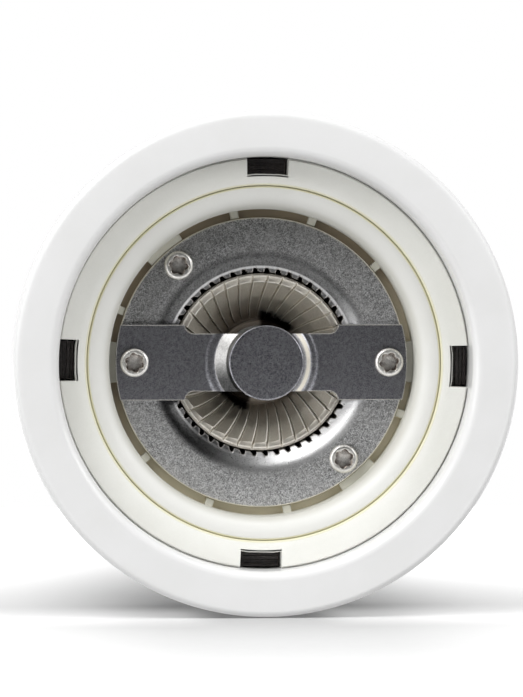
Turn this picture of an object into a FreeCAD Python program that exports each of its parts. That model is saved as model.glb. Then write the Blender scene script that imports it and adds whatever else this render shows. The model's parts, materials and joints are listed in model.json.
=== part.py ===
import FreeCAD, Part
import math
import operator
import os
import Sketcher

# Turned salt mill with a grind selector ring in its base.
# It stands on the selector ring: +Z is up, and the origin is the centre of the ring's flat face.
# Lengths are in millimetres and angles in degrees.
# Turning the ring slides the toothed plate along the axis, on cam grooves, towards or away from the cone.
DIMENSIONS = {
    # selector ring, the white foot of the mill
    "base_radius": 32.5,
    "ring_height": 18.6,
    "ring_taper": 0.6,
    "ring_edge": 0.8,
    "ring_top_edge": 0.8,
    "ring_bore": 26.65,
    "ring_bevel": 1.3,
    "ring_slit": 0.4,
    # liner of the ring
    "liner_recess": 4.5,
    "liner_fit": 0.05,
    "liner_reveal": 0.2,
    "reveal_depth": 0.6,
    "liner_chamfer": 0.35,
    "liner_wall": 1.7,
    "lip_thickness": 1.3,
    "lip_width": 0.6,
    "window_width": 5.3,
    "window_depth": 2.2,
    "window_height": 8.0,
    "window_count": 4,
    "window_angle": 1.0,
    "clip_play": 0.1,
    "clip_setback": 2.6,
    "clip_rib": 0.3,
    # clearances
    "turn_play": 0.2,
    "slide_play": 0.2,
    "stop_play": 0.25,
    "running_play": 0.05,
    "thread_play": 0.15,
    # selector motion
    "selector_range": 150.0,
    "grind_travel": 1.25,
    "detent_count": 12,
    "detent_radius": 0.5,
    # carrier cup and its cam lugs
    "carrier_radius": 22.85,
    "carrier_recess": 4.8,
    "carrier_lip": 2.4,
    "carrier_edge": 0.4,
    "slot_outer": 19.95,
    "slot_width": 2.05,
    "slot_floor": 0.7,
    "seat_thickness": 1.5,
    "narrow_rib": 1.05,
    "wide_rib": 5.2,
    "rib_setback": 0.5,
    "first_rib_angle": 20.3,
    "rib_pitch": 30.3,
    "boss_radius": 1.7,
    "boss_height": 5.3,
    "lug_reach": 1.0,
    "lug_height": 1.6,
    "lug_level": 6.8,
    "lug_angle": 3.0,
    "groove_runout": 5.0,
    # toothed plate
    "plate_radius": 18.9,
    "plate_recess": 10.5,
    "plate_thickness": 1.2,
    "plate_play": 0.1,
    "mouth_radius": 13.7,
    "lip_depth": 0.95,
    "crown_wall": 1.75,
    "crown_height": 9.0,
    "crown_lip": 0.8,
    "tooth_tip": 11.8,
    "tooth_depth": 0.65,
    "tooth_share": 0.24,
    "tooth_angle": 0.9,
    "tooth_count": 50,
    "tooth_runout": 1.0,
    "notch_overlap": 0.2,
    "grind_gap": 0.3,
    "cone_slope": 0.45,
    # bridge bar with its drawn dome
    "bar_thickness": 1.2,
    "bar_width": 9.8,
    "bar_reach": 19.0,
    "neck_width": 7.5,
    "neck_reach": 10.0,
    "dome_radius": 4.87,
    "dome_base": 6.9,
    "dome_recess": 6.5,
    "dome_edge": 0.45,
    # screws of the plate
    "screw_circle": 16.6,
    "plate_screw_angle": 49.5,
    "screw_head": 1.85,
    "screw_head_height": 1.1,
    "screw_head_edge": 0.45,
    "screw_shank": 1.0,
    "screw_length": 7.0,
    "screw_play": 0.1,
    "socket_radius": 1.3,
    "socket_depth": 0.8,
    # rotor
    "rim_rise": 1.6,
    "rim_height": 0.9,
    "rim_land": 0.9,
    "fine_height": 3.6,
    "rotor_top": 6.8,
    "rotor_height": 12.4,
    "rotor_tooth_count": 36,
    "rotor_tooth_angle": 0.1,
    "rotor_tooth_share": 0.45,
    "rotor_tooth_depth": 0.45,
    "rotor_tooth_lean": -6.3,
    "rim_line_width": 0.3,
    "rim_line_depth": 0.3,
    "rim_line_reach": 1.0,
    "dish_line_depth": 0.28,
    "dish_line_width": 0.44,
    "dish_line_lean": -6.3,
    "flute_count": 8,
    "flute_depth": 1.4,
    "flute_width": 3.2,
    "flute_lean": -26.0,
    "dish_radius": 6.6,
    "dish_depth": 4.9,
    "dish_bend_radius": 8.6,
    "dish_bend_depth": 2.3,
    "hub_radius": 5.4,
    "hub_depth": 2.9,
    # shaft and what it carries
    "shaft_side": 6.0,
    "shaft_corner": 0.6,
    "shaft_chamfer": 0.5,
    "foot_radius": 2.4,
    "groove_depth": 0.4,
    "thread_radius": 2.5,
    "clip_thickness": 0.8,
    "clip_radius": 4.7,
    "clip_gap": 1.8,
    "clip_lift": 0.1,
    "push_clip_radius": 5.6,
    "washer_radius": 7.2,
    "washer_thickness": 0.8,
    "wire_radius": 0.45,
    "spring_radius": 5.6,
    "spring_length": 11.2,
    "spring_turns": 5.0,
    # stator sleeve, upper bridge and bushes
    "sleeve_outer": 17.6,
    "crown_play": 0.3,
    "bush_wall": 1.2,
    "bush_flange": 6.8,
    "bush_flange_thickness": 1.0,
    "bush_nose": 1.6,
    "bridge_thickness": 1.5,
    "bridge_width": 5.0,
    "bridge_rim": 3.0,
    "bridge_hub": 7.2,
    "bridge_play": 0.1,
    "foot_bush_wall": 1.5,
    "foot_bush_height": 4.2,
    # guide ring and its springs
    "guide_bore": 20.5,
    "guide_flange": 1.8,
    "guide_screw_circle": 22.3,
    "guide_screw_count": 3,
    "guide_screw_angle": 90.0,
    "guide_screw_shank": 0.9,
    "guide_screw_head": 1.5,
    "guide_screw_head_height": 0.7,
    "guide_screw_length": 9.0,
    "leaf_thickness": 0.4,
    "leaf_depth": 1.0,
    "leaf_angle": 22.0,
    "leaf_heel_angle": 2.0,
    "leaf_bump": 0.45,
    "leaf_play": 0.1,
    # turned column
    "chamber_radius": 13.0,
    "column_edge": 0.8,
    "column_setback": 0.3,
    "foot_band": 6.0,
    "foot_step": 2.2,
    "sweep_radius": 22.7,
    "sweep_rise": 18.8,
    "waist_radius": 18.4,
    "waist_rise": 40.0,
    "swell_start_radius": 20.6,
    "swell_start_rise": 24.0,
    "swell_radius": 22.4,
    "swell_rise": 16.0,
    "throat_radius": 20.7,
    "throat_rise": 15.0,
    "throat_step": 0.6,
    "bead_radius": 3.3,
    "bead_seat": 19.9,
    "bead_height": 6.0,
    "column_cap": 1.4,
    "tenon_wall": 2.5,
    "tenon_height": 4.8,
    # turned head
    "head_slit": 0.4,
    "tenon_play": 0.4,
    "head_band": 1.6,
    "head_bead_radius": 2.8,
    "head_bead_height": 5.0,
    "head_cove_radius": 18.6,
    "head_neck_radius": 16.6,
    "head_neck_rise": 8.0,
    "bulb_start_radius": 20.4,
    "bulb_start_rise": 9.0,
    "bulb_radius": 24.8,
    "bulb_rise": 12.2,
    "head_top_radius": 8.2,
    "head_top_rise": 18.8,
    "head_bore": 4.8,
    # drive plate and its screws
    "drive_plate_radius": 11.0,
    "drive_plate_thickness": 1.5,
    "drive_screw_circle": 8.4,
    "drive_screw_count": 3,
    "drive_screw_angle": 90.0,
    "drive_screw_head": 1.6,
    "drive_screw_head_height": 0.9,
    "drive_screw_shank": 0.9,
    "drive_screw_length": 8.0,
    # knob and its washer
    "head_washer_radius": 8.0,
    "head_washer_bore": 2.9,
    "head_washer_thickness": 1.0,
    "knob_flange_radius": 7.6,
    "knob_flange_height": 1.4,
    "knob_flange_edge": 0.8,
    "knob_cove_foot": 6.9,
    "knob_neck_radius": 5.3,
    "knob_cove": 2.4,
    "knob_ball_radius": 6.8,
    "knob_height": 15.8,
    "insert_radius": 4.2,
    "insert_length": 9.5,
    "thread_length": 8.6,
    "square_setback": 2.0,
    # angle of the mechanism about the axis
    "mechanism_angle": 45.0,
}

doc = FreeCAD.newDocument("salt_mill")
sheet = doc.addObject("Spreadsheet::Sheet", "Sizes")
worked_out = doc.addObject("App::VarSet", "Derived")


# Sizes


class Size:
    """A dimension: its value now, and the formula over the document that keeps it true."""

    def __init__(self, value, formula):
        self.value = value
        self.formula = formula

    def __add__(self, other):
        return combine(operator.add, "+", self, other)

    def __radd__(self, other):
        return combine(operator.add, "+", other, self)

    def __sub__(self, other):
        return combine(operator.sub, "-", self, other)

    def __rsub__(self, other):
        return combine(operator.sub, "-", other, self)

    def __mul__(self, other):
        return combine(operator.mul, "*", self, other)

    def __rmul__(self, other):
        return combine(operator.mul, "*", other, self)

    def __truediv__(self, other):
        return combine(operator.truediv, "/", self, other)

    def __rtruediv__(self, other):
        return combine(operator.truediv, "/", other, self)

    def __neg__(self):
        return combine(operator.mul, "*", -1, self)


class Sizes:
    """Every named size: the driving ones from the sheet, and those worked out from them."""

    def __init__(self):
        for row, (alias, value) in enumerate(DIMENSIONS.items(), start=1):
            sheet.set(f"A{row}", alias)
            sheet.set(f"B{row}", str(value))
            sheet.setAlias(f"B{row}", alias)
            super().__setattr__(alias, Size(float(value), f"Sizes.{alias}"))
        doc.recompute()

    def __setattr__(self, name, size):
        worked_out.addProperty("App::PropertyFloat", name)
        worked_out.setExpression(name, size.formula)
        super().__setattr__(name, Size(size.value, f"Derived.{name}"))


def as_size(number):
    if isinstance(number, Size):
        return number
    return Size(float(number), repr(float(number)))


def combine(action, sign, left, right):
    """Join two sizes, and leave out the zeros and ones that change nothing."""
    left = as_size(left)
    right = as_size(right)
    if sign == "*" and "0.0" in (left.formula, right.formula):
        return as_size(0)
    if sign == "*" and left.formula == "1.0":
        return right
    if sign in "*/" and right.formula == "1.0":
        return left
    if sign in "+-" and right.formula == "0.0":
        return left
    if sign == "+" and left.formula == "0.0":
        return right
    return Size(action(left.value, right.value), f"({left.formula} {sign} {right.formula})")


def square_root(size):
    return Size(math.sqrt(size.value), f"sqrt({size.formula})")


def cosine(angle):
    angle = as_size(angle)
    if angle.formula == "0.0":
        return as_size(1)
    return Size(math.cos(math.radians(angle.value)), f"cos({angle.formula})")


def sine(angle):
    angle = as_size(angle)
    if angle.formula == "0.0":
        return as_size(0)
    return Size(math.sin(math.radians(angle.value)), f"sin({angle.formula})")


def other_leg(long_side, leg):
    """Third side of a right triangle."""
    return square_root(long_side * long_side - leg * leg)


S = Sizes()

# Levels above the resting face, and radii that several pieces share, in the base
S.column_foot = S.ring_height + S.ring_slit
S.liner_radius = S.ring_bore - S.liner_fit
S.liner_bore = S.carrier_radius + S.thread_play
S.liner_wall_radius = S.liner_radius - S.liner_wall
S.lip_radius = S.liner_wall_radius - S.lip_width
S.plate_back = S.plate_recess + S.plate_thickness
S.seat_back = S.plate_back + S.seat_thickness
S.guide_foot = S.seat_back + S.grind_travel + S.stop_play
S.liner_ledge = S.guide_foot - S.stop_play
S.flange_top = S.guide_foot + S.guide_flange
S.lip_foot = S.flange_top + S.turn_play
S.liner_top = S.lip_foot + S.lip_thickness
S.flange_radius = S.liner_wall_radius - S.turn_play
S.guide_neck = S.lip_radius - S.turn_play
S.slot_inner = S.slot_outer - S.slot_width
S.boss_top = S.seat_back + S.boss_height
S.keyway_top = S.boss_top + S.grind_travel + 2 * S.stop_play
S.crown_radius = S.tooth_tip + S.tooth_depth + S.crown_wall
S.crown_top = S.plate_recess + S.crown_height
S.sleeve_bore = S.crown_radius + S.crown_play
S.bar_face = S.plate_recess - S.bar_thickness
S.dome_floor = S.dome_recess + S.bar_thickness

# The grinding cone and its mouth
S.rim_face = S.plate_recess + S.rim_rise
S.rim_radius = S.tooth_tip - S.grind_gap
S.cone_start = S.rim_face + S.rim_height
S.fine_top = S.cone_start + S.fine_height
S.fine_narrowing = S.fine_height * S.cone_slope
S.rotor_back = S.rim_face + S.rotor_height
S.hub_face = S.rim_face + S.hub_depth
S.dish_top = S.rim_face + S.dish_depth

# The shaft and its bearings
S.washer_top = S.rotor_back + S.washer_thickness
S.bush_foot = S.washer_top + S.spring_length
S.bridge_foot = S.bush_foot + S.bush_nose
S.bridge_top = S.bridge_foot + S.bridge_thickness
S.bush_top = S.bridge_top + S.bush_flange_thickness
S.shaft_corner_reach = square_root(S.shaft_side * S.shaft_side / 2) - S.shaft_corner / 2
S.bush_bore = S.shaft_corner_reach + S.turn_play
S.bush_radius = S.bush_bore + S.bush_wall
S.shaft_foot = S.dome_floor + S.grind_travel + S.stop_play
S.rotor_clip_foot = S.hub_face - S.clip_lift - S.clip_thickness
S.square_foot = S.hub_face + S.turn_play

# Stations of the turned column, each a rise above the one below it
S.column_radius = S.base_radius - S.ring_taper - S.column_setback
S.band_top = S.column_foot + S.foot_band
S.sweep_foot = S.band_top + S.foot_step
S.sweep_level = S.sweep_foot + S.sweep_rise
S.waist_level = S.sweep_level + S.waist_rise
S.swell_start_level = S.waist_level + S.swell_start_rise
S.swell_level = S.swell_start_level + S.swell_rise
S.throat_level = S.swell_level + S.throat_rise
S.bead_foot = S.throat_level + S.throat_step
S.bead_top = S.bead_foot + S.bead_height
S.column_top = S.bead_top + S.column_cap
S.tenon_radius = S.chamber_radius + S.tenon_wall
S.tenon_top = S.column_top + S.tenon_height

# Stations of the head and the knob
S.head_foot = S.column_top + S.head_slit
S.recess_ceiling = S.tenon_top + S.tenon_play
S.drive_plate_top = S.recess_ceiling + S.drive_plate_thickness
S.head_bead_foot = S.head_foot + S.head_band
S.head_bead_top = S.head_bead_foot + S.head_bead_height
S.head_neck_level = S.head_bead_top + S.head_neck_rise
S.bulb_start_level = S.head_neck_level + S.bulb_start_rise
S.bulb_level = S.bulb_start_level + S.bulb_rise
S.head_top = S.bulb_level + S.head_top_rise
S.knob_foot = S.head_top + S.head_washer_thickness
S.knob_top = S.knob_foot + S.knob_height
S.square_top = S.head_top - S.square_setback
S.thread_top = S.knob_foot + S.thread_length
S.insert_top = S.knob_foot + S.insert_length

# Cam: each lug climbs by the travel while the ring turns through its range
S.cam_lead = S.grind_travel * 360 / S.selector_range
S.groove_foot = S.lug_level - S.slide_play - S.cam_lead * S.groove_runout / 360
S.groove_radius = S.carrier_radius + S.lug_reach + S.thread_play


# Drawing


def origin_feature(body, role):
    return next(feature for feature in body.Origin.OriginFeatures if feature.Role == role)


def new_body(label, angle=None):
    """Empty body for one sub-part, turned about the axis where an angle is given."""
    body = doc.addObject("PartDesign::Body", label)
    body.Label = label
    body.AllowCompound = True
    if angle is not None:
        body.Placement = FreeCAD.Placement(FreeCAD.Vector(), FreeCAD.Vector(0, 0, 1), angle.value)
        body.setExpression("Placement.Rotation.Angle", angle.formula)
    return body


def new_sketch(body, name, plane, level):
    sketch = body.newObject("Sketcher::SketchObject", name)
    sketch.AttachmentSupport = [(origin_feature(body, plane), "")]
    sketch.MapMode = "FlatFace"
    if level is not None:
        sketch.AttachmentOffset = FreeCAD.Placement(FreeCAD.Vector(0, 0, level.value), FreeCAD.Rotation())
        sketch.setExpression("AttachmentOffset.Base.z", level.formula)
    return sketch


def bind(sketch, constraint, name, size):
    """Name a constraint of the sketch and tie it to its size."""
    sketch.renameConstraint(constraint, name)
    if "Sizes." in size.formula or "Derived." in size.formula:
        sketch.setExpression(f"Constraints.{name}", size.formula)


def fix_point(sketch, edge, end, name, x, y):
    """Hold one point of the sketch at x, y from the sketch's own origin."""
    for kind, axis, letter, size in (("DistanceX", -2, "x", x), ("DistanceY", -1, "y", y)):
        if size.formula == "0.0":
            sketch.addConstraint(Sketcher.Constraint("PointOnObject", edge, end, axis))
        else:
            constraint = sketch.addConstraint(Sketcher.Constraint(kind, -1, 1, edge, end, size.value))
            bind(sketch, constraint, f"{letter}{name}", size)


def arc_edge(start, end, radius):
    """Short arc from start to end: a radius over zero runs anticlockwise, one under zero clockwise."""
    chord = end - start
    middle = (start + end) * 0.5
    across = FreeCAD.Vector(-chord.y, chord.x, 0).normalize()
    rise = math.sqrt(max(radius * radius - chord.Length * chord.Length / 4, 0.0))
    centre = middle + across * math.copysign(rise, radius)
    first, last = (start, end) if radius > 0 else (end, start)
    circle = Part.Circle(centre, FreeCAD.Vector(0, 0, 1), abs(radius))
    begin = math.atan2(first.y - centre.y, first.x - centre.x)
    finish = math.atan2(last.y - centre.y, last.x - centre.x)
    return Part.ArcOfCircle(circle, begin, finish)


def outline(body, name, plane, corners, level=None):
    """Closed outline through corners (x, y), or (x, y, radius of the arc that comes to the corner)."""
    sketch = new_sketch(body, name, plane, level)
    corners = [tuple(as_size(number) for number in corner) for corner in corners]
    points = [FreeCAD.Vector(corner[0].value, corner[1].value, 0) for corner in corners]
    count = len(corners)
    ends = []
    for number in range(count):
        following = (number + 1) % count
        arriving = corners[following][2:]
        if arriving:
            edge = arc_edge(points[number], points[following], arriving[0].value)
            ends.append((1, 2) if arriving[0].value > 0 else (2, 1))
        else:
            edge = Part.LineSegment(points[number], points[following])
            ends.append((1, 2))
        sketch.addGeometry(edge, False)
    for number in range(count):
        following = (number + 1) % count
        joint = Sketcher.Constraint("Coincident", number, ends[number][1], following, ends[following][0])
        sketch.addConstraint(joint)
    for number, corner in enumerate(corners):
        fix_point(sketch, number, ends[number][0], number, corner[0], corner[1])
        arriving = corners[(number + 1) % count][2:]
        if arriving:
            size = arriving[0]
            constraint = sketch.addConstraint(Sketcher.Constraint("Radius", number, abs(size.value)))
            bind(sketch, constraint, f"r{number}", Size(abs(size.value), f"abs({size.formula})"))
    return sketch


def circles(body, name, radius, level, centres=((0, 0),)):
    """Equal circles on a level plane."""
    sketch = new_sketch(body, name, "XY_Plane", level)
    for number, centre in enumerate(centres):
        x, y = (as_size(number) for number in centre)
        middle = FreeCAD.Vector(x.value, y.value, 0)
        sketch.addGeometry(Part.Circle(middle, FreeCAD.Vector(0, 0, 1), radius.value), False)
        fix_point(sketch, number, 3, number, x, y)
        constraint = sketch.addConstraint(Sketcher.Constraint("Radius", number, radius.value))
        bind(sketch, constraint, f"r{number}", radius)
    return sketch


def on_circle(radius, angle):
    return (radius * cosine(angle), radius * sine(angle))


def spaced(radius, angle, count):
    """Places evenly spaced on a circle about the axis, the first at the angle."""
    return [on_circle(radius, angle + 360 / count * number) for number in range(count)]


def rectangle(inner, outer, half_width, angle=0):
    """Corners of a rectangle that points away from the axis, at an angle about it."""
    along, aside = cosine(angle), sine(angle)
    corners = []
    for x, y in ((inner, -half_width), (outer, -half_width), (outer, half_width), (inner, half_width)):
        corners.append((x * along - y * aside, x * aside + y * along))
    return corners


def sector(inner, outer, start, finish):
    """Corners of a part of a ring, from one angle anticlockwise to another."""
    return [
        (*on_circle(inner, start), -inner),
        on_circle(outer, start),
        (*on_circle(outer, finish), outer),
        on_circle(inner, finish),
    ]


def chamfered_square(side, chamfer):
    half = side / 2
    cut = half - chamfer
    return [
        (half, -cut), (half, cut), (cut, half), (-cut, half),
        (-half, cut), (-half, -cut), (-cut, -half), (cut, -half),
    ]


def six_lobes(centre, reach):
    """Corners of a six-lobe driver socket about a centre."""
    waist = 0.86 * reach
    lobe_radius = 0.2 * reach
    hollow_radius = 0.35 * reach
    half_lobe = 12
    corners = []
    for number in range(6):
        for side, radius in ((-half_lobe, -hollow_radius), (half_lobe, lobe_radius)):
            x, y = on_circle(waist, 60 * number + side)
            corners.append((centre[0] + x, centre[1] + y, radius))
    return corners


def tangent_radii(start, stations):
    """Radii of the arcs that run on smoothly from start, where the outline is upright, through the stations.

    A radius over zero belongs to a hollow, whose centre lies outside the turned form.
    """
    radii = []
    here = start
    normal = (as_size(1), as_size(0))
    for station in stations:
        across = (station[0] - here[0], station[1] - here[1])
        along = across[0] * normal[0] + across[1] * normal[1]
        radius = (across[0] * across[0] + across[1] * across[1]) / (2 * along)
        centre = (here[0] + radius * normal[0], here[1] + radius * normal[1])
        normal = ((centre[0] - station[0]) / radius, (centre[1] - station[1]) / radius)
        radii.append(radius)
        here = station
    return radii


# Features


def checked(body, feature, grows):
    """Recompute, and stop if the feature added or removed nothing."""
    before = 0 if body.Shape.isNull() else body.Shape.Volume
    body.Tip = feature
    doc.recompute()
    after = body.Shape.Volume
    if (after <= before) if grows else (after >= before):
        raise RuntimeError(f"{feature.Label} leaves {body.Label} as it was")
    return feature


def revolve(body, name, corners):
    sketch = outline(body, f"{name}_outline", "XZ_Plane", corners)
    feature = body.newObject("PartDesign::Revolution", name)
    feature.Profile = (sketch, [""])
    feature.ReferenceAxis = (sketch, ["V_Axis"])
    feature.Angle = 360
    return checked(body, feature, True)


def pad(body, name, sketch, length):
    feature = body.newObject("PartDesign::Pad", name)
    feature.Profile = (sketch, [""])
    feature.setExpression("Length", length.formula)
    return checked(body, feature, True)


def pocket(body, name, sketch, length):
    """Cut upwards from the sketch."""
    feature = body.newObject("PartDesign::Pocket", name)
    feature.Profile = (sketch, [""])
    feature.Reversed = True
    feature.setExpression("Length", length.formula)
    return checked(body, feature, False)


def loft(body, name, low, high, grows):
    """Straight sided solid, added or cut away, between two sketches."""
    kind = "AdditiveLoft" if grows else "SubtractiveLoft"
    feature = body.newObject(f"PartDesign::{kind}", name)
    feature.Profile = (low, [""])
    feature.Sections = [(high, [""])]
    feature.Ruled = True
    return checked(body, feature, grows)


def helix(body, name, sketch, pitch, height, grows):
    """Sweep of a sketch up a screw line about the axis, added right handed or cut away left handed."""
    kind = "AdditiveHelix" if grows else "SubtractiveHelix"
    feature = body.newObject(f"PartDesign::{kind}", name)
    feature.Profile = (sketch, [""])
    feature.ReferenceAxis = (sketch, ["V_Axis"])
    feature.Mode = "pitch-height-angle"
    feature.LeftHanded = not grows
    feature.setExpression("Pitch", pitch.formula)
    feature.setExpression("Height", height.formula)
    return checked(body, feature, grows)


def around(body, name, features, count, grows):
    """Repeat features evenly about the axis."""
    pattern = body.newObject("PartDesign::PolarPattern", name)
    pattern.Originals = features
    pattern.Axis = (origin_feature(body, "Z_Axis"), [""])
    pattern.Angle = 360
    pattern.setExpression("Occurrences", as_size(count).formula)
    return checked(body, pattern, grows)


def rounded(body, name, base, radius, level, size):
    """Fillet of every full circle of one radius at one level."""
    edges = []
    for number, edge in enumerate(base.Shape.Edges, start=1):
        curve = edge.Curve
        if not isinstance(curve, Part.Circle) or not edge.isClosed():
            continue
        if abs(curve.Radius - radius.value) < 0.001 and abs(curve.Center.z - level.value) < 0.001:
            edges.append(f"Edge{number}")
    feature = body.newObject("PartDesign::Fillet", name)
    feature.Base = (base, edges)
    feature.setExpression("Radius", size.formula)
    return checked(body, feature, False)


def ring(label, bore, outer, foot, top):
    """Plain ring or bush about the axis."""
    body = new_body(label)
    revolve(body, "ring", [(bore, foot), (outer, foot), (outer, top), (bore, top)])
    return body


def tooth_notch(body, name, low, high, skew=0):
    """V notch between two level triangles, each (level, base radius, apex radius, half width, angle).

    The apex lies off the middle by a share of the half width.
    """
    sketches = []
    for number, (level, base, apex, half_width, angle) in enumerate((low, high)):
        along, aside = cosine(angle), sine(angle)
        corners = []
        for reach, side in ((base, -half_width), (base, half_width), (apex, half_width * skew)):
            corners.append((reach * along - side * aside, reach * aside + side * along))
        sketches.append(outline(body, f"{name}_{number}", "XY_Plane", corners, level))
    return loft(body, name, *sketches, False)


def pan_screws(label, places, seat, head, height, shank, length, angle=None):
    """Six-lobe pan head screws, heads down, whose heads bear on the seat from below."""
    body = new_body(label, angle)
    foot = seat - height
    heads = pad(body, "heads", circles(body, "head_outline", head, foot, places), height)
    rounded(body, "head_edge", heads, head, foot, S.screw_head_edge)
    pad(body, "shanks", circles(body, "shank_outline", shank, seat, places), length)
    reach = S.socket_radius * head / S.screw_head
    depth = S.socket_depth * height / S.screw_head_height
    for number, place in enumerate(places):
        socket = outline(body, f"socket_outline_{number}", "XY_Plane", six_lobes(place, reach), foot)
        pocket(body, f"socket_{number}", socket, depth)
    return body


# Selector ring and what turns with it


def selector_ring():
    body = new_body("selector_ring")
    top_radius = S.base_radius - S.ring_taper
    revolve(body, "turning", [
        (S.ring_bore + S.ring_bevel, 0, S.ring_bevel),
        (S.base_radius - S.ring_edge, 0),
        (S.base_radius, S.ring_edge, S.ring_edge),
        (S.base_radius, S.ring_height / 2),
        (top_radius, S.ring_height - S.ring_top_edge),
        (top_radius - S.ring_top_edge, S.ring_height, S.ring_top_edge),
        (S.ring_bore, S.ring_height),
        (S.ring_bore, S.ring_bevel),
    ])
    return body


def selector_liner():
    body = new_body("selector_liner", S.mechanism_angle)
    low_radius = S.ring_bore - S.liner_reveal
    reveal_top = S.liner_recess + S.reveal_depth
    revolve(body, "moulding", [
        (S.liner_bore + S.liner_chamfer, S.liner_recess),
        (low_radius - S.liner_chamfer, S.liner_recess),
        (low_radius, S.liner_recess + S.liner_chamfer, S.liner_chamfer),
        (low_radius, reveal_top),
        (S.liner_radius, reveal_top),
        (S.liner_radius, S.liner_top),
        (S.lip_radius, S.liner_top),
        (S.lip_radius, S.lip_foot),
        (S.liner_wall_radius, S.lip_foot),
        (S.liner_wall_radius, S.liner_ledge),
        (S.liner_bore, S.liner_ledge),
        (S.liner_bore, S.liner_recess + S.liner_chamfer),
    ])
    window_floor = S.ring_bore - S.window_depth
    window = outline(
        body, "window_outline", "XY_Plane",
        rectangle(window_floor, S.ring_bore + S.liner_reveal, S.window_width / 2, S.window_angle),
        S.liner_recess
    )
    around(body, "windows", [pocket(body, "window", window, S.window_height)], S.window_count, False)
    notch = circles(body, "notch_outline", S.detent_radius, S.lip_foot, [(S.lip_radius, 0)])
    around(body, "notches", [pocket(body, "notch", notch, S.lip_thickness)], S.detent_count, False)
    cam_grooves(body)
    return body


def cam_grooves(body):
    """Left hand helical grooves in the liner's bore, one for each lug of the carrier."""
    groove_top = S.groove_foot + S.lug_height + 2 * S.slide_play
    mouth = S.liner_bore - S.lug_reach
    profile = outline(body, "groove_outline", "XZ_Plane", [
        (mouth, S.groove_foot),
        (S.groove_radius, S.groove_foot),
        (S.groove_radius, groove_top),
        (mouth, groove_top),
    ])
    turned = S.selector_range + 2 * S.groove_runout
    groove = helix(body, "groove", profile, S.cam_lead, S.cam_lead * turned / 360, False)
    around(body, "grooves", [groove], 2, False)


def ring_clips():
    """Ribbed blocks that stand in the liner's windows."""
    body = new_body("ring_clips", S.mechanism_angle)
    half_width = S.window_width / 2 - S.clip_play
    back = S.ring_bore - S.window_depth + S.clip_play
    face = other_leg(S.liner_radius, half_width)
    foot = S.liner_recess + S.clip_setback
    layer_count = 7
    layer = (S.window_height - S.clip_setback - S.clip_play) / layer_count
    layers = []
    for number in range(layer_count):
        reach = face - S.clip_rib * (number % 2)
        corners = rectangle(back, reach, half_width, S.window_angle)
        section = outline(body, f"layer_outline_{number}", "XY_Plane", corners, foot + layer * number)
        layers.append(pad(body, f"layer_{number}", section, layer))
    around(body, "clips", layers, S.window_count, True)
    return body


# Carrier and what slides with it


def rib_sides():
    """Angles of the two sides of each rib in half a turn, and of the first rib of the other half."""
    middle_radius = S.slot_outer - S.slot_width / 2
    to_degrees = 180 / math.pi
    narrow = S.narrow_rib / 2 / middle_radius * to_degrees
    wide = S.wide_rib / 2 / middle_radius * to_degrees
    ribs = [(as_size(0), wide), (S.first_rib_angle, narrow), (S.plate_screw_angle, wide)]
    for number in (1, 2, 3):
        ribs.append((S.plate_screw_angle + S.rib_pitch * number, narrow))
    ribs.append((as_size(180), wide))
    return [(middle - half, middle + half) for middle, half in ribs]


def plate_screw_places():
    """Centres of the four screw holes: two under the bridge bar and two beside it."""
    return spaced(S.screw_circle, as_size(0), 2) + spaced(S.screw_circle, S.plate_screw_angle, 2)


def carrier_cup():
    body = new_body("carrier_cup", S.mechanism_angle)
    pocket_radius = S.plate_radius + S.plate_play
    rib_face = S.plate_recess + S.rib_setback
    seat_bore = S.crown_radius + S.slide_play
    revolve(body, "moulding", [
        (seat_bore, S.plate_back),
        (pocket_radius, S.plate_back),
        (pocket_radius, rib_face),
        (S.slot_outer, rib_face),
        (S.slot_outer, S.carrier_recess + S.carrier_lip),
        (S.slot_outer + S.carrier_lip, S.carrier_recess, S.carrier_lip),
        (S.carrier_radius - S.carrier_edge, S.carrier_recess),
        (S.carrier_radius, S.carrier_recess + S.carrier_edge, S.carrier_edge),
        (S.carrier_radius, S.seat_back),
        (seat_bore, S.seat_back),
    ])
    sides = rib_sides()
    slots = []
    for number in range(len(sides) - 1):
        corners = sector(S.slot_inner, S.slot_outer, sides[number][1], sides[number + 1][0])
        slot = outline(body, f"slot_outline_{number}", "XY_Plane", corners, rib_face)
        slots.append(pocket(body, f"slot_{number}", slot, S.seat_back - S.slot_floor - rib_face))
    around(body, "slots", slots, 2, False)
    places = plate_screw_places()
    pad(body, "bosses", circles(body, "boss_outline", S.boss_radius, S.seat_back, places), S.boss_height)
    pilot_outline = circles(body, "pilot_outline", S.screw_shank + S.running_play, S.plate_back, places)
    pocket(body, "pilots", pilot_outline, S.boss_top - S.plate_back)
    lug_sector = sector(
        S.carrier_radius - S.carrier_edge, S.carrier_radius + S.lug_reach,
        -S.groove_runout - S.lug_angle, S.lug_angle - S.groove_runout
    )
    lug = pad(body, "lug", outline(body, "lug_outline", "XY_Plane", lug_sector, S.lug_level), S.lug_height)
    around(body, "lugs", [lug], 2, True)
    return body


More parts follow.
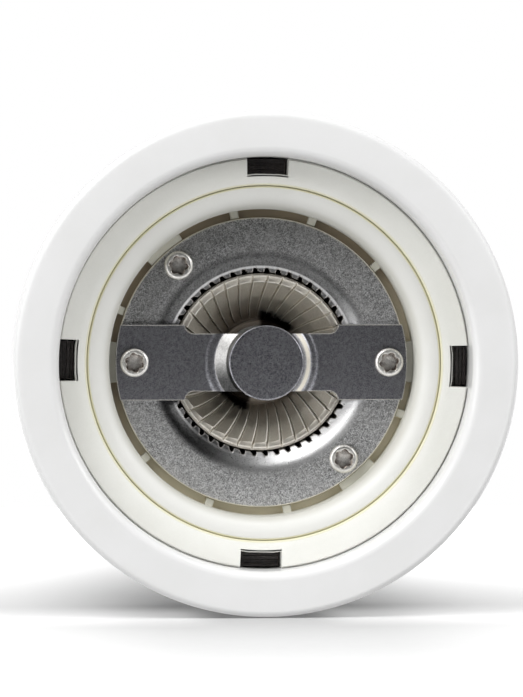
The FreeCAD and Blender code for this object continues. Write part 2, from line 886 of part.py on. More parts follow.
def stator_plate():
    """Steel plate whose mouth turns up into the toothed crown."""
    body = new_body("stator_plate", S.mechanism_angle)
    narrow_radius = S.tooth_tip - S.fine_narrowing
    revolve(body, "pressing", [
        (S.mouth_radius, S.plate_recess),
        (S.plate_radius, S.plate_recess),
        (S.plate_radius, S.plate_back),
        (S.crown_radius, S.plate_back),
        (S.crown_radius, S.crown_top),
        (S.crown_radius - S.crown_lip, S.crown_top),
        (narrow_radius, S.fine_top),
        (S.tooth_tip, S.cone_start),
        (S.tooth_tip, S.plate_recess + S.lip_depth),
    ])
    pitch = 2 * math.pi * S.tooth_tip / S.tooth_count
    half_width = pitch * S.tooth_share * (S.tooth_depth + S.notch_overlap) / S.tooth_depth
    end_radius = narrow_radius - S.tooth_runout * S.cone_slope
    start_radius = S.tooth_tip
    depth = S.tooth_depth
    angle = S.tooth_angle
    tooth = tooth_notch(
        body, "tooth",
        (S.plate_recess, start_radius - S.notch_overlap, start_radius + depth, half_width, angle),
        (S.fine_top + S.tooth_runout, end_radius - S.notch_overlap, end_radius + depth, half_width, angle),
        -0.7
    )
    around(body, "teeth", [tooth], S.tooth_count, False)
    holes = circles(body, "hole_outline", S.screw_shank + S.screw_play, S.plate_recess, plate_screw_places())
    pocket(body, "holes", holes, S.plate_thickness)
    return body


def bridge_bar():
    """Bar blanked from sheet, with the dome drawn out of its middle."""
    body = new_body("bridge_bar", S.mechanism_angle)
    run = S.dome_base - S.dome_radius
    rise = S.bar_face - S.dome_recess
    spread = run * S.bar_thickness / rise
    wall_shift = S.bar_thickness * square_root(run * run + rise * rise) / rise
    revolve(body, "drawing", [
        (0, S.dome_recess),
        (S.dome_radius - S.dome_edge, S.dome_recess),
        (S.dome_radius, S.dome_recess + S.dome_edge, S.dome_edge),
        (S.dome_base, S.bar_face),
        (S.bar_reach, S.bar_face),
        (S.bar_reach, S.plate_recess),
        (S.dome_base + spread - wall_shift, S.plate_recess),
        (S.dome_radius + spread - wall_shift, S.dome_floor),
        (0, S.dome_floor),
    ])
    half_bar = S.bar_width / 2
    half_neck = S.neck_width / 2
    shoulder = half_bar - half_neck
    neck_end = S.neck_reach - shoulder
    disc_side = other_leg(S.dome_radius, half_neck)
    far = S.bar_reach + S.bar_thickness
    waste = outline(body, "waste_outline", "XY_Plane", [
        (far, half_bar),
        (far, far),
        (-far, far),
        (-far, half_bar),
        (-S.neck_reach, half_bar),
        (-neck_end, half_neck, shoulder),
        (-disc_side, half_neck),
        (disc_side, half_neck, -S.dome_radius),
        (neck_end, half_neck),
        (S.neck_reach, half_bar, shoulder),
    ], S.dome_recess)
    blanking = pocket(body, "blanking", waste, S.plate_recess - S.dome_recess)
    around(body, "blanked_sides", [blanking], 2, False)
    places = spaced(S.screw_circle, as_size(0), 2)
    holes = circles(body, "hole_outline", S.screw_shank + S.screw_play, S.bar_face, places)
    pocket(body, "holes", holes, S.bar_thickness)
    return body


def bridge_screws():
    places = spaced(S.screw_circle, as_size(0), 2)
    return pan_screws(
        "bridge_screws", places, S.bar_face,
        S.screw_head, S.screw_head_height, S.screw_shank, S.screw_length, S.mechanism_angle
    )


def plate_screws():
    places = spaced(S.screw_circle, S.plate_screw_angle, 2)
    return pan_screws(
        "plate_screws", places, S.plate_recess,
        S.screw_head, S.screw_head_height, S.screw_shank, S.screw_length, S.mechanism_angle
    )


def foot_bush():
    """Plain bush in the dome, for the round foot of the shaft."""
    bore = S.foot_radius + S.running_play
    return ring("foot_bush", bore, bore + S.foot_bush_wall, S.dome_floor, S.dome_floor + S.foot_bush_height)


# Fixed pieces under the column


def stator_sleeve():
    body = new_body("stator_sleeve", S.mechanism_angle)
    revolve(body, "moulding", [
        (S.sleeve_bore, S.guide_foot),
        (S.sleeve_outer, S.guide_foot),
        (S.sleeve_outer, S.bridge_foot),
        (S.sleeve_bore, S.bridge_foot),
    ])
    half_width = S.boss_radius + S.slide_play
    keyways = []
    for number, angle in enumerate((as_size(0), S.plate_screw_angle)):
        corners = rectangle(S.sleeve_bore - S.bridge_rim, S.sleeve_outer + S.bridge_rim, half_width, angle)
        keyway = outline(body, f"keyway_outline_{number}", "XY_Plane", corners, S.guide_foot)
        keyways.append(pocket(body, f"keyway_{number}", keyway, S.keyway_top - S.guide_foot))
    around(body, "keyways", keyways, 2, False)
    return body


def upper_bridge():
    """Cross bar with a rim and a hub, which leaves two openings for the salt."""
    body = new_body("upper_bridge")
    outer = S.sleeve_outer - S.bridge_play
    bore = S.bush_radius + S.running_play
    revolve(body, "disc", [
        (bore, S.bridge_foot),
        (outer, S.bridge_foot),
        (outer, S.bridge_top),
        (bore, S.bridge_top),
    ])
    opening_radius = outer - S.bridge_rim
    side = S.bridge_width / 2
    outer_end = other_leg(opening_radius, side)
    hub_end = other_leg(S.bridge_hub, side)
    opening = outline(body, "opening_outline", "XY_Plane", [
        (side, -outer_end),
        (side, outer_end, opening_radius),
        (side, hub_end),
        (side, -hub_end, -S.bridge_hub),
    ], S.bridge_foot)
    around(body, "openings", [pocket(body, "opening", opening, S.bridge_thickness)], 2, False)
    return body


def shaft_bush():
    body = new_body("shaft_bush")
    revolve(body, "moulding", [
        (S.bush_bore, S.bush_foot),
        (S.bush_radius, S.bush_foot),
        (S.bush_radius, S.bridge_top),
        (S.bush_flange, S.bridge_top),
        (S.bush_flange, S.bush_top),
        (S.bush_bore, S.bush_top),
    ])
    return body


def guide_ring():
    """Ring under the column, in whose groove the liner's lip turns."""
    body = new_body("guide_ring", S.mechanism_angle)
    revolve(body, "moulding", [
        (S.guide_bore, S.guide_foot),
        (S.flange_radius, S.guide_foot),
        (S.flange_radius, S.flange_top),
        (S.guide_neck, S.flange_top),
        (S.guide_neck, S.column_foot),
        (S.guide_bore, S.column_foot),
    ])
    half_angle = S.leaf_angle / 2 + S.leaf_heel_angle / 4
    recess = sector(S.guide_neck - S.leaf_depth, S.flange_radius, -half_angle, half_angle)
    leaf_recess = outline(body, "leaf_recess_outline", "XY_Plane", recess, S.lip_foot)
    around(body, "leaf_recesses", [pocket(body, "leaf_recess", leaf_recess, S.lip_thickness)], 2, False)
    place = on_circle(S.guide_screw_circle, S.guide_screw_angle)
    bore = circles(body, "bore_outline", S.guide_screw_shank + S.screw_play, S.guide_foot, [place])
    hole = pocket(body, "bore", bore, S.column_foot - S.guide_foot)
    wide = circles(body, "sink_foot", S.guide_screw_head + S.screw_play, S.guide_foot, [place])
    sink_top = S.guide_foot + S.guide_screw_head_height
    narrow = circles(body, "sink_top", S.guide_screw_shank + S.screw_play, sink_top, [place])
    sink = loft(body, "sink", wide, narrow, False)
    around(body, "screw_holes", [hole, sink], S.guide_screw_count, False)
    return body


def guide_ring_screws():
    body = new_body("guide_ring_screws", S.mechanism_angle)
    place = on_circle(S.guide_screw_circle, S.guide_screw_angle)
    wide = circles(body, "head_foot", S.guide_screw_head, S.guide_foot, [place])
    narrow = circles(body, "head_top", S.guide_screw_shank, S.guide_foot + S.guide_screw_head_height, [place])
    head = loft(body, "head", wide, narrow, True)
    shank_outline = circles(body, "shank_outline", S.guide_screw_shank, S.guide_foot, [place])
    shank = pad(body, "shank", shank_outline, S.guide_screw_length)
    reach = S.socket_radius * S.guide_screw_head / S.screw_head
    socket_outline = outline(body, "socket_outline", "XY_Plane", six_lobes(place, reach), S.guide_foot)
    depth = S.socket_depth * S.guide_screw_head_height / S.screw_head_height
    socket = pocket(body, "socket", socket_outline, depth)
    around(body, "screws", [head, shank, socket], S.guide_screw_count, True)
    return body


def detent_springs():
    """Leaves with a bump that clicks into the liner's notches, one for each setting."""
    body = new_body("detent_springs", S.mechanism_angle)
    foot = S.lip_foot + S.leaf_play
    height = S.lip_thickness - 2 * S.leaf_play
    face = S.guide_neck - S.turn_play
    back = S.guide_neck - S.leaf_depth + S.running_play
    half_angle = S.leaf_angle / 2
    forms = {
        "strip": sector(face - S.leaf_thickness, face, -half_angle, half_angle),
        "first_heel": sector(back, face, -half_angle, S.leaf_heel_angle - half_angle),
        "second_heel": sector(back, face, half_angle - S.leaf_heel_angle, half_angle),
    }
    pieces = []
    for name, corners in forms.items():
        pieces.append(pad(body, name, outline(body, f"{name}_outline", "XY_Plane", corners, foot), height))
    bump_place = (S.lip_radius - S.leaf_play - S.leaf_bump, 0)
    bump_outline = circles(body, "bump_outline", S.leaf_bump, foot, [bump_place])
    pieces.append(pad(body, "bump", bump_outline, height))
    around(body, "springs", pieces, 2, True)
    return body


# Rotor and what turns with it


def rotor():
    body = new_body("rotor")
    fine_radius = S.rim_radius - S.fine_narrowing
    revolve(body, "casting", [
        (0, S.hub_face),
        (S.hub_radius, S.hub_face),
        (S.hub_radius, S.dish_top),
        (S.dish_radius, S.dish_top),
        (S.dish_bend_radius, S.rim_face + S.dish_bend_depth),
        (S.rim_radius - S.rim_land, S.rim_face),
        (S.rim_radius, S.rim_face),
        (S.rim_radius, S.cone_start),
        (fine_radius, S.fine_top),
        (S.rotor_top, S.rotor_back),
        (0, S.rotor_back),
    ])
    fine_teeth(body, fine_radius)
    breaker_flutes(body, fine_radius)
    side = S.shaft_side / 2 + S.running_play
    square_hole = outline(body, "square_hole_outline", "XY_Plane", rectangle(-side, side, side), S.hub_face)
    pocket(body, "square_hole", square_hole, S.rotor_back - S.hub_face)
    return body


def fine_teeth(body, fine_radius):
    """Slanted V notches round the cone, and between them lines over the rim and down the dish."""
    pitch = 2 * math.pi * S.rim_radius / S.rotor_tooth_count
    half_width = pitch * S.rotor_tooth_share
    depth = S.rotor_tooth_depth
    start = S.rotor_tooth_angle - 180 / S.rotor_tooth_count
    end = start + S.rotor_tooth_lean
    tooth = tooth_notch(
        body, "fine_tooth",
        (S.rim_face, S.rim_radius + S.notch_overlap, S.rim_radius - depth, half_width, start),
        (S.fine_top, fine_radius + S.notch_overlap, fine_radius - depth, half_width, end),
    )
    crest = S.rotor_tooth_angle
    line_start = S.rim_radius - S.rim_line_reach
    line = rectangle(line_start, S.rim_radius + S.notch_overlap, S.rim_line_width / 2, crest)
    line_outline = outline(body, "rim_line_outline", "XY_Plane", line, S.rim_face)
    rim_line = pocket(body, "rim_line", line_outline, S.rim_line_depth)
    land_radius = S.rim_radius - S.rim_land
    depth = S.dish_line_depth
    half_width = S.dish_line_width / 2
    end = crest + S.dish_line_lean
    dish_line = tooth_notch(
        body, "dish_line",
        (S.rim_face, land_radius - S.notch_overlap, land_radius + depth, half_width, crest),
        (S.dish_top, S.dish_radius - S.notch_overlap, S.dish_radius + depth, half_width, end),
    )
    around(body, "fine_teeth", [tooth, rim_line, dish_line], S.rotor_tooth_count, False)


def breaker_flutes(body, fine_radius):
    """Wide flutes above the fine teeth, which break the crystals and draw them down."""
    half_width = S.flute_width / 2
    flute = tooth_notch(
        body, "flute",
        (S.fine_top, fine_radius + S.notch_overlap, fine_radius, half_width, S.rotor_tooth_lean),
        (S.rotor_back, S.rotor_top + S.notch_overlap, S.rotor_top - S.flute_depth, half_width, S.flute_lean),
    )
    around(body, "flutes", [flute], S.flute_count, False)


def drive_shaft():
    body = new_body("drive_shaft")
    groove_floor = S.foot_radius - S.groove_depth
    groove_foot = S.rotor_clip_foot - S.running_play
    groove_top = S.rotor_clip_foot + S.clip_thickness + S.running_play
    revolve(body, "round_foot", [
        (0, S.shaft_foot),
        (S.foot_radius - S.shaft_chamfer, S.shaft_foot),
        (S.foot_radius, S.shaft_foot + S.shaft_chamfer),
        (S.foot_radius, groove_foot),
        (groove_floor, groove_foot),
        (groove_floor, groove_top),
        (S.foot_radius, groove_top),
        (S.foot_radius, S.square_foot),
        (0, S.square_foot),
    ])
    section = chamfered_square(S.shaft_side, S.shaft_corner)
    bar = outline(body, "bar_outline", "XY_Plane", section, S.square_foot)
    pad(body, "bar", bar, S.square_top - S.square_foot)
    revolve(body, "threaded_end", [
        (0, S.square_top),
        (S.thread_radius, S.square_top),
        (S.thread_radius, S.thread_top - S.shaft_chamfer),
        (S.thread_radius - S.shaft_chamfer, S.thread_top),
        (0, S.thread_top),
    ])
    return body


def rotor_clip():
    """Spring clip, open on one side, in the shaft's groove under the rotor."""
    bore = S.foot_radius - S.groove_depth + S.running_play
    body = ring("rotor_clip", bore, S.clip_radius, S.rotor_clip_foot, S.rotor_clip_foot + S.clip_thickness)
    mouth = rectangle(0, 2 * S.clip_radius, S.clip_gap)
    gap = outline(body, "gap_outline", "XY_Plane", mouth, S.rotor_clip_foot)
    pocket(body, "gap", gap, S.clip_thickness)
    return body


def shaft_clip():
    """Push-on clip with a square hole, which hangs the shaft on its bush."""
    body = new_body("shaft_clip")
    foot = S.bush_top + S.clip_lift
    pad(body, "disc", circles(body, "disc_outline", S.push_clip_radius, foot), S.clip_thickness)
    side = S.shaft_side / 2 + S.running_play
    hole = outline(body, "hole_outline", "XY_Plane", rectangle(-side, side, side), foot)
    pocket(body, "hole", hole, S.clip_thickness)
    return body


def spring_washer():
    bore = S.shaft_corner_reach + S.turn_play
    return ring("spring_washer", bore, S.washer_radius, S.rotor_back, S.washer_top)


def rotor_spring():
    """Coil spring that holds the rotor down, between its washer and the bush."""
    body = new_body("rotor_spring")
    start = S.washer_top + S.wire_radius + S.running_play
    wire = new_sketch(body, "wire_outline", "XZ_Plane", None)
    middle = FreeCAD.Vector(S.spring_radius.value, start.value, 0)
    wire.addGeometry(Part.Circle(middle, FreeCAD.Vector(0, 0, 1), S.wire_radius.value), False)
    fix_point(wire, 0, 3, 0, S.spring_radius, start)
    bind(wire, wire.addConstraint(Sketcher.Constraint("Radius", 0, S.wire_radius.value)), "r0", S.wire_radius)
    height = S.spring_length - 2 * (S.wire_radius + S.running_play)
    helix(body, "coil", wire, height / S.spring_turns, height, True)
    return body


# Column, head and knob


def body_column():
    """Turned column with the salt chamber, a foot band, a long waist and a bead under the head."""
    body = new_body("body_column", S.mechanism_angle)
    waist = (S.waist_radius, S.waist_level)
    sweep = (S.sweep_radius, S.sweep_level)
    sweep_end = (S.column_radius - S.foot_step, S.sweep_foot)
    swell_start = (S.swell_start_radius, S.swell_start_level)
    swell = (S.swell_radius, S.swell_level)
    throat = (S.throat_radius, S.throat_level)
    waist_arc, sweep_arc = tangent_radii(waist, [sweep, sweep_end])
    start_arc, swell_arc, throat_arc = tangent_radii(waist, [swell_start, swell, throat])
    edge = S.column_edge
    revolve(body, "turning", [
        (S.guide_bore, S.column_foot),
        (S.column_radius - edge, S.column_foot),
        (S.column_radius, S.column_foot + edge, edge),
        (S.column_radius, S.band_top),
        (*sweep_end, S.foot_step),
        (*sweep, -sweep_arc),
        (*waist, -waist_arc),
        (*swell_start, -start_arc),
        (*swell, -swell_arc),
        (*throat, -throat_arc),
        (S.bead_seat, S.bead_foot),
        (S.bead_seat, S.bead_top, S.bead_radius),
        (S.bead_seat, S.column_top - edge),
        (S.bead_seat - edge, S.column_top, edge),
        (S.tenon_radius, S.column_top),
        (S.tenon_radius, S.tenon_top),
        (S.chamber_radius, S.tenon_top),
        (S.chamber_radius, S.bridge_top),
        (S.sleeve_outer, S.bridge_top),
        (S.sleeve_outer, S.keyway_top),
        (S.guide_bore, S.keyway_top),
    ])
    places = spaced(S.guide_screw_circle, S.guide_screw_angle, DIMENSIONS["guide_screw_count"])
    pilots = circles(body, "pilot_outline", S.guide_screw_shank + S.running_play, S.column_foot, places)
    pocket(body, "pilots", pilots, S.guide_foot + S.guide_screw_length - S.column_foot)
    return body


def mill_head():
    """Turned head: a band and a bead, a hollow neck and the bulb that the hand turns."""
    body = new_body("mill_head")
    neck = (S.head_neck_radius, S.head_neck_level)
    cove = (S.head_cove_radius, S.head_bead_top)
    bulb_start = (S.bulb_start_radius, S.bulb_start_level)
    bulb = (S.bulb_radius, S.bulb_level)
    top = (S.head_top_radius, S.head_top)
    cove_arc, = tangent_radii(neck, [cove])
    start_arc, bulb_arc, top_arc = tangent_radii(neck, [bulb_start, bulb, top])
    edge = S.column_edge
    plate_recess = S.drive_plate_radius + S.running_play
    tenon_recess = S.tenon_radius + S.tenon_play
    revolve(body, "turning", [
        (tenon_recess, S.head_foot),
        (S.bead_seat - edge, S.head_foot),
        (S.bead_seat, S.head_foot + edge, edge),
        (S.bead_seat, S.head_bead_foot),
        (S.bead_seat, S.head_bead_top, S.head_bead_radius),
        cove,
        (*neck, -cove_arc),
        (*bulb_start, -start_arc),
        (*bulb, -bulb_arc),
        (*top, -top_arc),
        (S.head_bore, S.head_top),
        (S.head_bore, S.drive_plate_top),
        (plate_recess, S.drive_plate_top),
        (plate_recess, S.recess_ceiling),
        (tenon_recess, S.recess_ceiling),
    ])
    pilot_radius = S.drive_screw_shank + S.running_play
    pilots = circles(body, "pilot_outline", pilot_radius, S.drive_plate_top, drive_screw_places())
    pocket(body, "pilots", pilots, S.drive_screw_length)
    return body


def drive_screw_places():
    return spaced(S.drive_screw_circle, S.drive_screw_angle, DIMENSIONS["drive_screw_count"])


def drive_plate():
    """Steel plate under the head, whose square hole takes the shaft."""
    body = new_body("drive_plate")
    disc = circles(body, "disc_outline", S.drive_plate_radius, S.recess_ceiling)
    pad(body, "disc", disc, S.drive_plate_thickness)
    side = S.shaft_side / 2 + S.thread_play
    hole = outline(body, "square_outline", "XY_Plane", rectangle(-side, side, side), S.recess_ceiling)
    pocket(body, "square_hole", hole, S.drive_plate_thickness)
    radius = S.drive_screw_shank + S.screw_play
    holes = circles(body, "hole_outline", radius, S.recess_ceiling, drive_screw_places())
    pocket(body, "holes", holes, S.drive_plate_thickness)
    return body


def drive_plate_screws():
    return pan_screws(
        "drive_plate_screws", drive_screw_places(), S.recess_ceiling,
        S.drive_screw_head, S.drive_screw_head_height, S.drive_screw_shank, S.drive_screw_length
    )


def head_washer():
    return ring("head_washer", S.head_washer_bore, S.head_washer_radius, S.head_top, S.knob_foot)


def knob():
    """Turned metal knob: a flange, a cove and a ball."""
    body = new_body("knob")
    flange_top = S.knob_foot + S.knob_flange_height
    ball_level = S.knob_top - S.knob_ball_radius
    neck_level = ball_level - other_leg(S.knob_ball_radius, S.knob_neck_radius)
    revolve(body, "turning", [
        (S.insert_radius, S.knob_foot),
        (S.knob_flange_radius, S.knob_foot),
        (S.knob_flange_radius, flange_top, S.knob_flange_edge),
        (S.knob_cove_foot, flange_top),
        (S.knob_neck_radius, neck_level, -S.knob_cove),
        (0, S.knob_top, S.knob_ball_radius),
        (0, S.insert_top),
        (S.insert_radius, S.insert_top),
    ])
    return body


def knob_insert():
    return ring("knob_insert", S.thread_radius + S.thread_play, S.insert_radius, S.knob_foot, S.insert_top)


# Assembly

SUB_PARTS = [
    selector_ring(),
    selector_liner(),
    ring_clips(),
    carrier_cup(),
    stator_plate(),
    bridge_bar(),
    bridge_screws(),
    plate_screws(),
    foot_bush(),
    body_column(),
    guide_ring(),
    guide_ring_screws(),
    detent_springs(),
    stator_sleeve(),
    upper_bridge(),
    shaft_bush(),
    rotor(),
    drive_shaft(),
    rotor_clip(),
    shaft_clip(),
    spring_washer(),
    rotor_spring(),
    mill_head(),
    drive_plate(),
    drive_plate_screws(),
    head_washer(),
    knob(),
    knob_insert(),
]

doc.recompute()
for feature in doc.Objects:
    if "Invalid" in feature.State or "Error" in feature.State:
        raise RuntimeError(f"{feature.Label} is {feature.State}")
for body in SUB_PARTS:
    if body.Shape.isNull() or not body.Shape.isValid():
        raise RuntimeError(f"{body.Label} has no valid shape")

os.makedirs("parts", exist_ok=True)
for body in SUB_PARTS:
    body.Shape.exportStep(f"parts/{body.Label}.step")
    print(f"{body.Label}: {len(body.Shape.Solids)} solid(s), {body.Shape.Volume:.0f} cubic millimetres")
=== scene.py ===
import json
import math

import bmesh
import bpy
import numpy as np
from mathutils import Matrix, Vector

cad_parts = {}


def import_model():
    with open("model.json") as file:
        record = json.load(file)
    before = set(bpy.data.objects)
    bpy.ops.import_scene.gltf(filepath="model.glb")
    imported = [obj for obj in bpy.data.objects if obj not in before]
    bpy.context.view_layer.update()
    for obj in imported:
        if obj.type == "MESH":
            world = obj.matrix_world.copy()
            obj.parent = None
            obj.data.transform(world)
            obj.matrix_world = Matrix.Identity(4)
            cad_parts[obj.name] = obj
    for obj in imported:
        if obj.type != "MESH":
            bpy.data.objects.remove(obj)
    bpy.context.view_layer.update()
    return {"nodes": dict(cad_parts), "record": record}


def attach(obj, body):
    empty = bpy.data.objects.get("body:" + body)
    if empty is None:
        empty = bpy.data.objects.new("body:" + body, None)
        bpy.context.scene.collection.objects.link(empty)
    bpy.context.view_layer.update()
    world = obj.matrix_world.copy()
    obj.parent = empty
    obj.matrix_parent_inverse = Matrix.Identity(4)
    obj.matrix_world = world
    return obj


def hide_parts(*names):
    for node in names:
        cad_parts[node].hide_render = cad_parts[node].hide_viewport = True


# Turned salt mill, seen from under its base. Lengths in the drawing code are millimetres.
# The mill stands upright on its ring, so the main camera looks up at it along the axis.
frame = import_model()

MM = 0.001
TURN = 2 * math.pi
MECHANISM = math.radians(45)  # angle of the bridge bar about the axis
ROTOR_LINES = 36
ROTOR_PITCH = TURN / ROTOR_LINES
ROTOR_FIRST = math.radians(0.1)
ROTOR_LEAN = math.radians(-6.3)
LEAN_START, LEAN_REACH = 10.9, 4.3  # radius where the rotor's lines begin to lean, and how far inward they do
BODY_OF = {node: body for body, nodes in frame["record"]["behaviour"]["bodies"].items() for node in nodes}
SLOT_OF = {entry["node"]: entry["material_slot"] for entry in frame["record"]["subparts"]}

# Directions of the picture, in the mill's frame
RIGHT = Vector((-math.sqrt(0.5), -math.sqrt(0.5), 0))
UP = Vector((-math.sqrt(0.5), math.sqrt(0.5), 0))
FRONT = Vector((0, 0, -1))


def in_picture(right, up, front):
    """A place by the picture's directions from the middle of the base, in metres."""
    return RIGHT * right + UP * up + FRONT * front


# Outlines

SMOOTH_TURN = math.radians(25)  # a corner that turns less than this stays as it is

def polar(radius, angle):
    return (radius * math.cos(angle), radius * math.sin(angle))


def rotated(x, y, angle):
    """A place turned about the axis."""
    c, s = math.cos(angle), math.sin(angle)
    return (x * c - y * s, x * s + y * c)


def clamped(value, high=1.0):
    return max(0.0, min(high, value))


def all_round(steps):
    """Angles of a full turn in even steps."""
    return np.linspace(0, TURN, steps + 1)[:-1]


def arc(start, end, radius, steps):
    """Points of the short arc after start: a radius over zero runs anticlockwise."""
    start, end = np.array(start, float), np.array(end, float)
    chord = end - start
    length = np.linalg.norm(chord)
    across = np.array([-chord[1], chord[0]]) / length
    rise = math.sqrt(max(radius * radius - length * length / 4, 0))
    centre = (start + end) / 2 + across * math.copysign(rise, radius)
    first = math.atan2(start[1] - centre[1], start[0] - centre[0])
    last = math.atan2(end[1] - centre[1], end[0] - centre[0])
    sweep = (last - first) % TURN if radius > 0 else -((first - last) % TURN)
    return [centre + abs(radius) * np.array([math.cos(a), math.sin(a)])
            for a in np.linspace(first, first + sweep, steps + 1)[1:]]


def outline(corners, steps=14, closed=True):
    """Points through corners (x, y), or (x, y, radius of the arc that comes to the corner)."""
    points = [] if closed else [np.array(corners[0][:2], float)]
    previous = corners[-1] if closed else corners[0]
    for corner in corners if closed else corners[1:]:
        if len(corner) > 2:
            points += arc(previous[:2], corner[:2], corner[2], steps)
        else:
            points.append(np.array(corner[:2], float))
        previous = corner
    return points


def soften(points, radius, steps=3, closed=True):
    """Round each sharp corner of an outline."""
    count = len(points)
    rounded = []
    for number, here in enumerate(points):
        if not closed and number in (0, count - 1):
            rounded.append(here)
            continue
        back = points[number - 1] - here
        ahead = points[(number + 1) % count] - here
        back_length, ahead_length = np.linalg.norm(back), np.linalg.norm(ahead)
        if min(back_length, ahead_length) < 1e-6:
            rounded.append(here)
            continue
        back, ahead = back / back_length, ahead / ahead_length
        turn = math.pi - math.acos(max(-1, min(1, float(back @ ahead))))
        if turn < SMOOTH_TURN:
            rounded.append(here)
            continue
        reach = min(radius * math.tan(turn / 2), 0.45 * back_length, 0.45 * ahead_length)
        start, end = here + back * reach, here + ahead * reach
        for share in np.linspace(0, 1, steps + 1):
            rounded.append((1 - share) ** 2 * start + 2 * share * (1 - share) * here + share ** 2 * end)
    return rounded


def tangent_radii(start, stations):
    """Radii of arcs that run on smoothly from start, where the outline is upright."""
    radii = []
    here, normal = np.array(start, float), np.array([1.0, 0.0])
    for station in stations:
        station = np.array(station, float)
        across = station - here
        radius = float(across @ across) / (2 * float(across @ normal))
        centre = here + radius * normal
        normal = (centre - station) / radius
        radii.append(radius)
        here = station
    return radii


# Meshes


def turned(profile, segments):
    """Points and faces of a form turned about the axis."""
    profile = np.array(profile, float)
    around = np.arange(segments) * TURN / segments
    points = np.stack([
        profile[None, :, 0] * np.cos(around)[:, None],
        profile[None, :, 0] * np.sin(around)[:, None],
        np.repeat(profile[None, :, 1], segments, 0),
    ], -1)
    return lattice(points, True, True)


def lattice(points, wrap_rows, wrap_columns):
    """Points and faces of a grid of points: rows, columns, xyz."""
    rows, columns = points.shape[:2]
    row = np.arange(rows if wrap_rows else rows - 1)
    column = np.arange(columns if wrap_columns else columns - 1)
    i, j = np.meshgrid(row, column, indexing="ij")
    next_i, next_j = (i + 1) % rows, (j + 1) % columns
    corners = [i * columns + j, next_i * columns + j, next_i * columns + next_j, i * columns + next_j]
    return points.reshape(-1, 3), np.stack(corners, -1).reshape(-1, 4).tolist()


def prism(section, low, high, edge=0.15):
    """Upright block over a closed outline, with its two ends' edges rounded off."""
    section = np.array(section, float)
    middle = section.mean(0)
    size = np.abs(section - middle).max()
    inset = middle + (section - middle) * (1 - edge / size)
    levels = [(inset, low), (section, low + edge), (section, high - edge), (inset, high)]
    points = [np.column_stack([ring, np.full(len(ring), level)]) for ring, level in levels]
    grid_points, faces = lattice(np.array(points), False, True)
    count = len(section)
    faces.append(list(range(count)))
    faces.append(list(range(3 * count, 4 * count)))
    return grid_points, faces


def piece(name, forms, sharp=35, angle=0.0):
    """One mesh object from several closed forms, turned about the axis by an angle."""
    bm = bmesh.new()
    for points, faces in forms:
        vertices = [bm.verts.new(point) for point in np.asarray(points, float) * MM]
        for face in faces:
            bm.faces.new([vertices[index] for index in face])
    bmesh.ops.remove_doubles(bm, verts=bm.verts, dist=1e-7)
    bmesh.ops.dissolve_degenerate(bm, dist=1e-8, edges=bm.edges)
    bmesh.ops.recalc_face_normals(bm, faces=bm.faces)
    bm.transform(Matrix.Rotation(angle, 4, "Z"))
    mesh = bpy.data.meshes.new(name)
    bm.to_mesh(mesh)
    bm.free()
    mesh.polygons.foreach_set("use_smooth", [True] * len(mesh.polygons))
    mesh.set_sharp_from_angle(angle=math.radians(sharp))
    return add(name, mesh)


def add(name, data):
    obj = bpy.data.objects.new(name, data)
    bpy.context.scene.collection.objects.link(obj)
    return obj


def dress(obj, node):
    """Give a piece the finish of a node of the frame, and let it stand for that node and move with it."""
    obj.data.materials.append(MATERIALS[SLOT_OF[node]])
    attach(obj, BODY_OF[node])
    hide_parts(node)


# Materials


